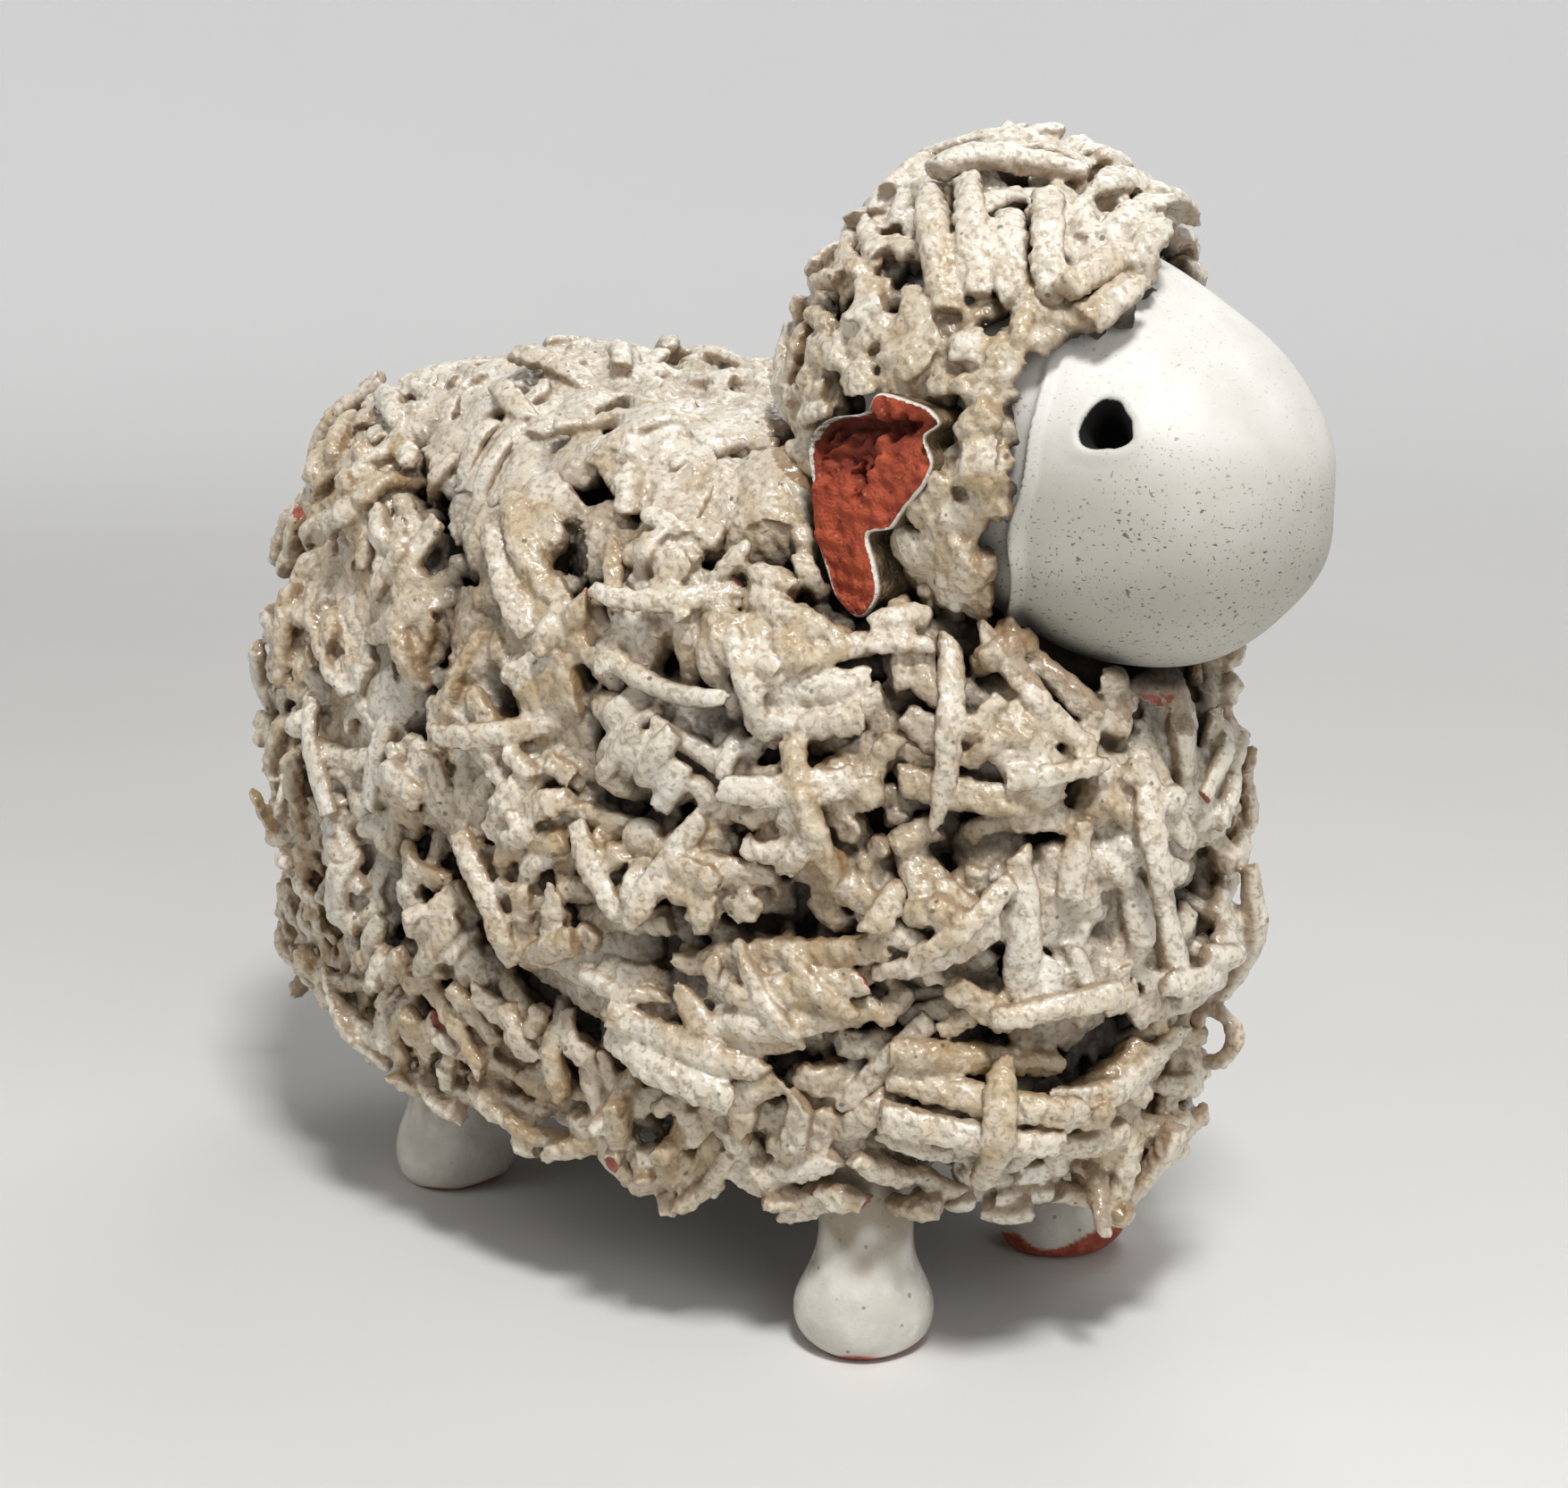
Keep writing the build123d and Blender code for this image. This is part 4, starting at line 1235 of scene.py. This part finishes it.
def tubes(lines, ways, radii, flats):
    """Closed coils round lines: their points and three-cornered faces."""
    many = len(lines)
    ahead = unit(np.gradient(lines, axis=1))
    side = unit(np.cross(ways, ahead))
    up = np.cross(ahead, side)
    t = np.linspace(0, 1, STRAND_POINTS)
    thin = draw.uniform(0, THINNED_ENDS, (2, many, 1))
    wave = np.sin(2 * math.pi * (t * draw.uniform(0.5, 1.5, (many, 1)) + draw.random((many, 1))))
    swell = 1 + WAVINESS * wave - thin[0] * (1 - t) ** 4 - thin[1] * t**4
    swell = swell + draw.normal(0, UNEVENNESS, (many, STRAND_POINTS))
    wide = (radii / np.sqrt(flats))[:, None] * swell
    high = (radii * np.sqrt(flats))[:, None] * swell
    turn = np.linspace(0, 2 * math.pi, STRAND_SIDES, endpoint=False)
    lobes = 1 + LOBES * np.cos(3 * turn + draw.uniform(0, 2 * math.pi, (many, 1)))
    across = side[:, :, None] * (wide[:, :, None] * np.cos(turn))[..., None]
    across = across + up[:, :, None] * (high[:, :, None] * np.sin(turn))[..., None]
    rings = lines[:, :, None] + across * lobes[:, None, :, None]
    for end in (0, -1):
        slant = draw.normal(0, TORN_ENDS, (many, 2)) @ np.stack([np.cos(turn), np.sin(turn)])
        rings[:, end] += ahead[:, end, None] * (slant * radii[:, None])[..., None]
    rings = rings.reshape(many, -1, 3)
    bulge = ahead * END_BULGE
    caps = np.stack([lines[:, 0] - bulge[:, 0], lines[:, -1] + bulge[:, -1]], axis=1)
    ring = np.arange(STRAND_POINTS * STRAND_SIDES).reshape(STRAND_POINTS, STRAND_SIDES)
    next_side = np.roll(ring, -1, axis=1)
    first, last = STRAND_POINTS * STRAND_SIDES, STRAND_POINTS * STRAND_SIDES + 1
    faces = [
        np.stack([ring[:-1], next_side[:-1], next_side[1:]], axis=-1).reshape(-1, 3),
        np.stack([ring[:-1], next_side[1:], ring[1:]], axis=-1).reshape(-1, 3),
        np.stack([next_side[0], ring[0], np.full(STRAND_SIDES, first)], axis=-1),
        np.stack([ring[-1], next_side[-1], np.full(STRAND_SIDES, last)], axis=-1),
    ]
    faces = np.concatenate(faces)
    points = np.concatenate([rings, caps], axis=1)
    offset = (np.arange(many) * points.shape[1])[:, None, None]
    return points.reshape(-1, 3), (faces[None] + offset).reshape(-1, 3)


def crests(mesh, points, out):
    """How far each point stands out from its neighbours: above 0 on crests, below 0 in hollows."""
    edges = np.empty(len(mesh.edges) * 2, int)
    mesh.edges.foreach_get("vertices", edges)
    a, b = edges.reshape(-1, 2).T
    many = len(points)
    count = np.maximum(np.bincount(a, minlength=many) + np.bincount(b, minlength=many), 1)
    lift = np.sum((points[b] - points[a]) * out[a], axis=1)
    drop = np.sum((points[a] - points[b]) * out[b], axis=1)
    curve = -(np.bincount(a, lift, many) + np.bincount(b, drop, many)) / count
    for _ in range(3):
        curve = (curve + (np.bincount(a, curve[b], many) + np.bincount(b, curve[a], many)) / count) / 2
    return curve / FLEECE_VOXEL


def height_over(points):
    """How high points stand in the fleece, which is thinner on the head, and the ways out there."""
    head, head_out = HEAD.level(points)
    body, body_out = BODY.level(points)
    on_head = head < body
    return np.where(on_head, HEAD_DEPTH * head, body), np.where(on_head[:, None], head_out, body_out)


def make_lock(pile, name, tree, tones, chipped):
    """One lock of the fleece: its strands run together, crusted, and noted for the glaze."""
    mine = np.array([lock == name for lock in pile.locks])
    parts = [part[: pile.count][mine] for part in (pile.lines, pile.ways, pile.radii, pile.flats)]
    coils = mesh_of(name.replace("wool", "fleece").replace("fringe", "hem"), *tubes(*parts))
    mesh = fused(coils, FLEECE_VOXEL, MELTED.get(name, FLEECE_SOFTEN))
    points, out = points_of(mesh)
    curve = crests(mesh, points, out)
    nearest = np.array([tree.find(point)[1] for point in points])
    strand = nearest // STRAND_POINTS
    at_end = np.isin(nearest % STRAND_POINTS, (0, STRAND_POINTS - 1))
    end_on = np.abs(np.sum(out * ends_of(pile)[nearest], axis=1))
    rough = CRUST_HEIGHT * lumps(points, CRUST_SIZE, 61) + GRAIN_HEIGHT * lumps(points, GRAIN_SIZE, 62)
    put_points(mesh, points + out * (rough * (1 - 0.6 * pooling(points)))[:, None])
    height, away_from = height_over(points)
    note(mesh, "tone", tones[strand])
    note(mesh, "crest", curve)
    note(mesh, "height", height)
    note(mesh, "facing", np.sum(out * away_from, axis=1))
    note(mesh, "pool", np.maximum(pooling(points), POOL_TOP * smooth(*POOL_TOP_SPAN, away_from[:, 2])))
    knocked = smooth(*CHIP_END_SPAN, end_on) * smooth(*CHIP_HEIGHT_SPAN, height)
    note(mesh, "chip", (at_end & chipped[strand]) * knocked)
    return mesh


def ends_of(pile):
    """The way each point of each strand heads."""
    return unit(np.gradient(pile.lines[: pile.count], axis=1)).reshape(-1, 3)


def fleece_glaze():
    """Cream glaze: white in pools and brown on thin crests, pricked with pinholes, with painted shade that
    browns the sides of the strands, the hollows and the lower layers and darkens the gaps to near black.
    """
    finish, wire = new_finish("fleece_glaze", paint(208, 196, 174), coat_roughness=0.08)
    tone, crest, pool = wire.noted("tone"), wire.noted("crest"), wire.noted("pool")
    cloud = wire.mottle(2.2, 3.0)
    cream = (tone * 0.38 + cloud * 1.05 - 0.2).above(0.1, 0.9)
    cream = cream.tint(paint(186, 162, 122), paint(243, 235, 220))
    cream = (wire.mottle(9.0, 2.0).above(0.45, 0.7) * 0.5).tint(cream, paint(208, 199, 180))
    white = wire.mottle(3.0, 2.0).above(0.35, 0.7).tint(paint(222, 216, 203), paint(240, 237, 229))
    ground = (pool * 0.55).tint(cream, white)
    flaw = wire.mottle(0.5, 3.0).above(0.48, 0.66)
    ground = (flaw * 0.52).tint(ground, paint(134, 108, 72))
    thin = (crest + cloud * 0.4 - 0.2).above(0.1, 0.32)
    ground = (thin * (1 - pool * 0.6) * 0.75).tint(ground, paint(142, 110, 70))
    # painted shade: the sides of the strands, which face less of the light, are tinted brown
    side = wire.noted("facing").above(0.72, 0.1)
    ground = (side * 0.68).tint(ground, paint(128, 98, 62))
    # painted shade: strands lower in the pile are tinted brown, partly as a browner thin glaze and partly
    # as the shade down there
    low = wire.noted("height").above(5.2, 2.6) * (wire.mottle(4.0, 2.0).above(0.3, 0.6) * 0.36 + 0.12)
    ground = (low * (1 - pool * 0.6)).tint(ground, paint(140, 112, 76))
    # painted shade: the deepest gaps are painted near black, as the shade there
    deep_shade = wire.noted("height").above(3.4, 1.4)
    ground = (deep_shade * 0.94).tint(ground, paint(34, 24, 15))
    # painted shade: hollows between the strands are darkened as their shade
    hollow = crest.above(-0.04, -0.24)
    ground = (hollow * 0.5).tint(ground, paint(92, 70, 46))
    ground = (wire.specks(1.1, 1.1, 0.28, 0.17) * 0.7).tint(ground, paint(58, 42, 28))
    chip = wire.noted("chip").above(0.3, 0.7)
    red = wire.mottle(0.7, 2.0).above(0.3, 0.7).tint(paint(130, 54, 42), paint(172, 96, 78))
    grain = wire.mottle(0.4, 2.0)
    feed(
        finish,
        base_color=chip.tint(ground, red),
        roughness=chip * 0.4 + wire.mottle(1.2, 2.0) * 0.24 + 0.12 + flaw * 0.2 + deep_shade * 0.4,
        coat_weight=(1 - deep_shade) * (1 - flaw * 0.6) * 0.45,
        normal=wire.bump(grain, 0.12, wire.bump(wire.mottle(1.1, 2.0), 0.22)),
    )
    return finish


pile = Pile(20000)
add_pads(pile, BODY, POOL_PADS, body_lock, is_pooled, POOL_HEIGHTS)
add_pads(pile, BODY, BED_PADS, body_lock, is_bedded, BED_HEIGHTS)
add_pads(pile, SKIRT, LINING_PADS, body_lock, is_anywhere, LINING_HEIGHTS)
add_pads(pile, HEAD, CHEEK_PADS, head_lock, is_walled, CHEEK_HEIGHTS, CHEEK_RADII, CHEEK_LENGTHS)
lay(pile, HEAD, HEAD_TUFTS, HEAD_LENGTHS, head_lock, BASE_PILE)
lay_marked(pile, HEAD, HEAD_MARKED, head_lock)
lay(pile, HEAD, HEAD_TUFTS, HEAD_LENGTHS, head_lock)
lay(pile, HEAD, HEAD_BITS, BIT_LENGTHS, head_lock)
lay(pile, HEAD, HEAD_TOP_TUFTS, HEAD_LENGTHS, head_lock, HEAD_TOP_PILE)
lay(pile, BODY, BODY_TUFTS, BODY_LENGTHS, body_lock, BASE_PILE)
lay_marked(pile, BODY, BODY_MARKED, body_lock)
lay(pile, BODY, BODY_TUFTS, BODY_LENGTHS, body_lock)
lay(pile, SKIRT, SKIRT_TUFTS, BODY_LENGTHS, body_lock)
lay_marked(pile, SKIRT, SKIRT_MARKED, body_lock)
lay(pile, BODY, BODY_BITS, BIT_LENGTHS, body_lock, BIT_PILE)
lay(pile, SKIRT, BODY_BITS, BIT_LENGTHS, body_lock)
lay(pile, BODY, TOP_TUFTS, TOP_LENGTHS, body_lock, TOP_PILE)
for form in COLLARS:
    lay(pile, form, COLLAR_TUFTS, COLLAR_LENGTHS, body_lock, COLLAR_PILE)
add_stubs(pile, BODY, *BODY.scatter(BODY_STUBS, draw), body_lock)
add_stubs(pile, HEAD, *HEAD.scatter(HEAD_STUBS, draw), head_lock)
add_stubs(pile, SKIRT, *cluster(), body_lock, CLUSTER_STAND)
add_loop(pile, body_lock)
add_hanging(pile, SKIRT, HANGING_STUBS, body_lock)
tones = draw.random(pile.count)
chipped = (draw.random(pile.count) < CHIP_SHARE) & (pile.radii[: pile.count] <= MARKED_RADIUS)
nearby = KDTree(pile.count * STRAND_POINTS)
for index, point in enumerate(pile.lines[: pile.count].reshape(-1, 3)):
    nearby.insert(point, index)
nearby.balance()
fleece_finish = fleece_glaze()
for lock in sorted(set(pile.locks)):
    shorn = make_lock(pile, lock, nearby, tones, chipped)
    set_piece(shorn.name, shorn, fleece_finish, "fleece_glaze", lock)

# Setting: a plain pale sweep that runs up into a wall all round, four soft lamps
# and the camera where the picture was taken from, a little above the sheep's back.
SWEEP_FLAT = 0.5
SWEEP_REACH = 1.6
SWEEP_HIGH = 1.7
SWEEP_STEPS = 120
SWEEP_GLOW = (0.42, 0.42, 0.43, 1)
SWEEP_GLOW_SPAN = (0.1, 0.95)
SWEEP_RAYS = ("Camera", "Glossy", "Transmission")
CAMERA_AZIMUTH = 43.03
CAMERA_ELEVATION = 11.86
CAMERA_DISTANCE = 193.9
CAMERA_TARGET = (11.29, -7.45, 45.0)
PHOTO_WIDTH = 1755
FOCAL_PIXELS = 2700
LAMPS = (
    ("key_lamp", 54, 58, 0.55, 0.09, 2.35),
    ("fill_lamp", 72, 28, 0.6, 0.3, 0.65),
    ("side_lamp", -30, 35, 0.6, 0.3, 0.4),
    ("back_lamp", 200, 50, 0.6, 0.35, 0.8),
)
SKY = 0.16


def away(azimuth, elevation):
    """The way from the sheep towards something seen from it at an azimuth and elevation."""
    a, e = math.radians(azimuth), math.radians(elevation)
    return Vector((math.sin(a) * math.cos(e), -math.cos(a) * math.cos(e), math.sin(e)))


def make_sweep():
    """The floor and wall in one sheet, flat under the sheep and rising ever more steeply round it."""
    ticks = np.linspace(-SWEEP_REACH, SWEEP_REACH, SWEEP_STEPS + 1)
    x, y = np.meshgrid(ticks, ticks, indexing="ij")
    away_from = np.clip((np.hypot(x, y) - SWEEP_FLAT) / (SWEEP_REACH - SWEEP_FLAT), 0, 1)
    points = np.stack([x, y, SWEEP_HIGH * away_from**3], axis=-1).reshape(-1, 3) / MM
    mesh = mesh_of("sweep", points, grid_quads(SWEEP_STEPS))
    note(mesh, "far", smooth(*SWEEP_GLOW_SPAN, np.hypot(points[:, 0], points[:, 1]) * MM))
    sweep = bpy.data.objects.new("sweep", mesh)
    bpy.context.scene.collection.objects.link(sweep)
    finish, wire = new_finish("sweep_paper", paint(222, 221, 218), roughness=0.9, emission_strength=1.0)
    seen = sum(wire.node("ShaderNodeLightPath", {}, {}, out=f"Is {ray} Ray") for ray in SWEEP_RAYS)
    lit = (seen * wire.noted("far")).tint((0, 0, 0, 1), SWEEP_GLOW)
    feed(
        finish,
        base_color=wire.mottle(60.0, 2.0).tint(paint(220, 219, 216), paint(226, 225, 222)),
        emission_color=lit,
    )
    mesh.materials.append(finish)


def add_lamp(name, azimuth, elevation, distance, size, power):
    """A square soft lamp aimed at the middle of the sheep."""
    lamp = bpy.data.lights.new(name, "AREA")
    lamp.size, lamp.energy = size, power
    holder = bpy.data.objects.new(name, lamp)
    bpy.context.scene.collection.objects.link(holder)
    way = away(azimuth, elevation)
    holder.location = Vector((0, 0, BODY_HEIGHT * MM)) + way * distance
    holder.rotation_euler = way.to_track_quat("Z", "Y").to_euler()


make_sweep()
for lamp in LAMPS:
    add_lamp(*lamp)
world = bpy.data.worlds.new("room")
world.use_nodes = True
world.node_tree.nodes["Background"].inputs["Color"].default_value = (SKY, SKY, SKY, 1)
bpy.context.scene.world = world
lens = bpy.data.cameras.new("camera")
lens.sensor_width = 36.0
lens.lens = lens.sensor_width * FOCAL_PIXELS / PHOTO_WIDTH
lens.clip_start = 0.01
camera = bpy.data.objects.new("camera", lens)
bpy.context.scene.collection.objects.link(camera)
back = away(CAMERA_AZIMUTH, CAMERA_ELEVATION)
camera.location = Vector((ORIGIN + CAMERA_TARGET) * MM) + back * CAMERA_DISTANCE * MM
camera.rotation_euler = back.to_track_quat("Z", "Y").to_euler()
bpy.context.scene.camera = camera
bpy.context.scene.view_settings.view_transform = "Standard"
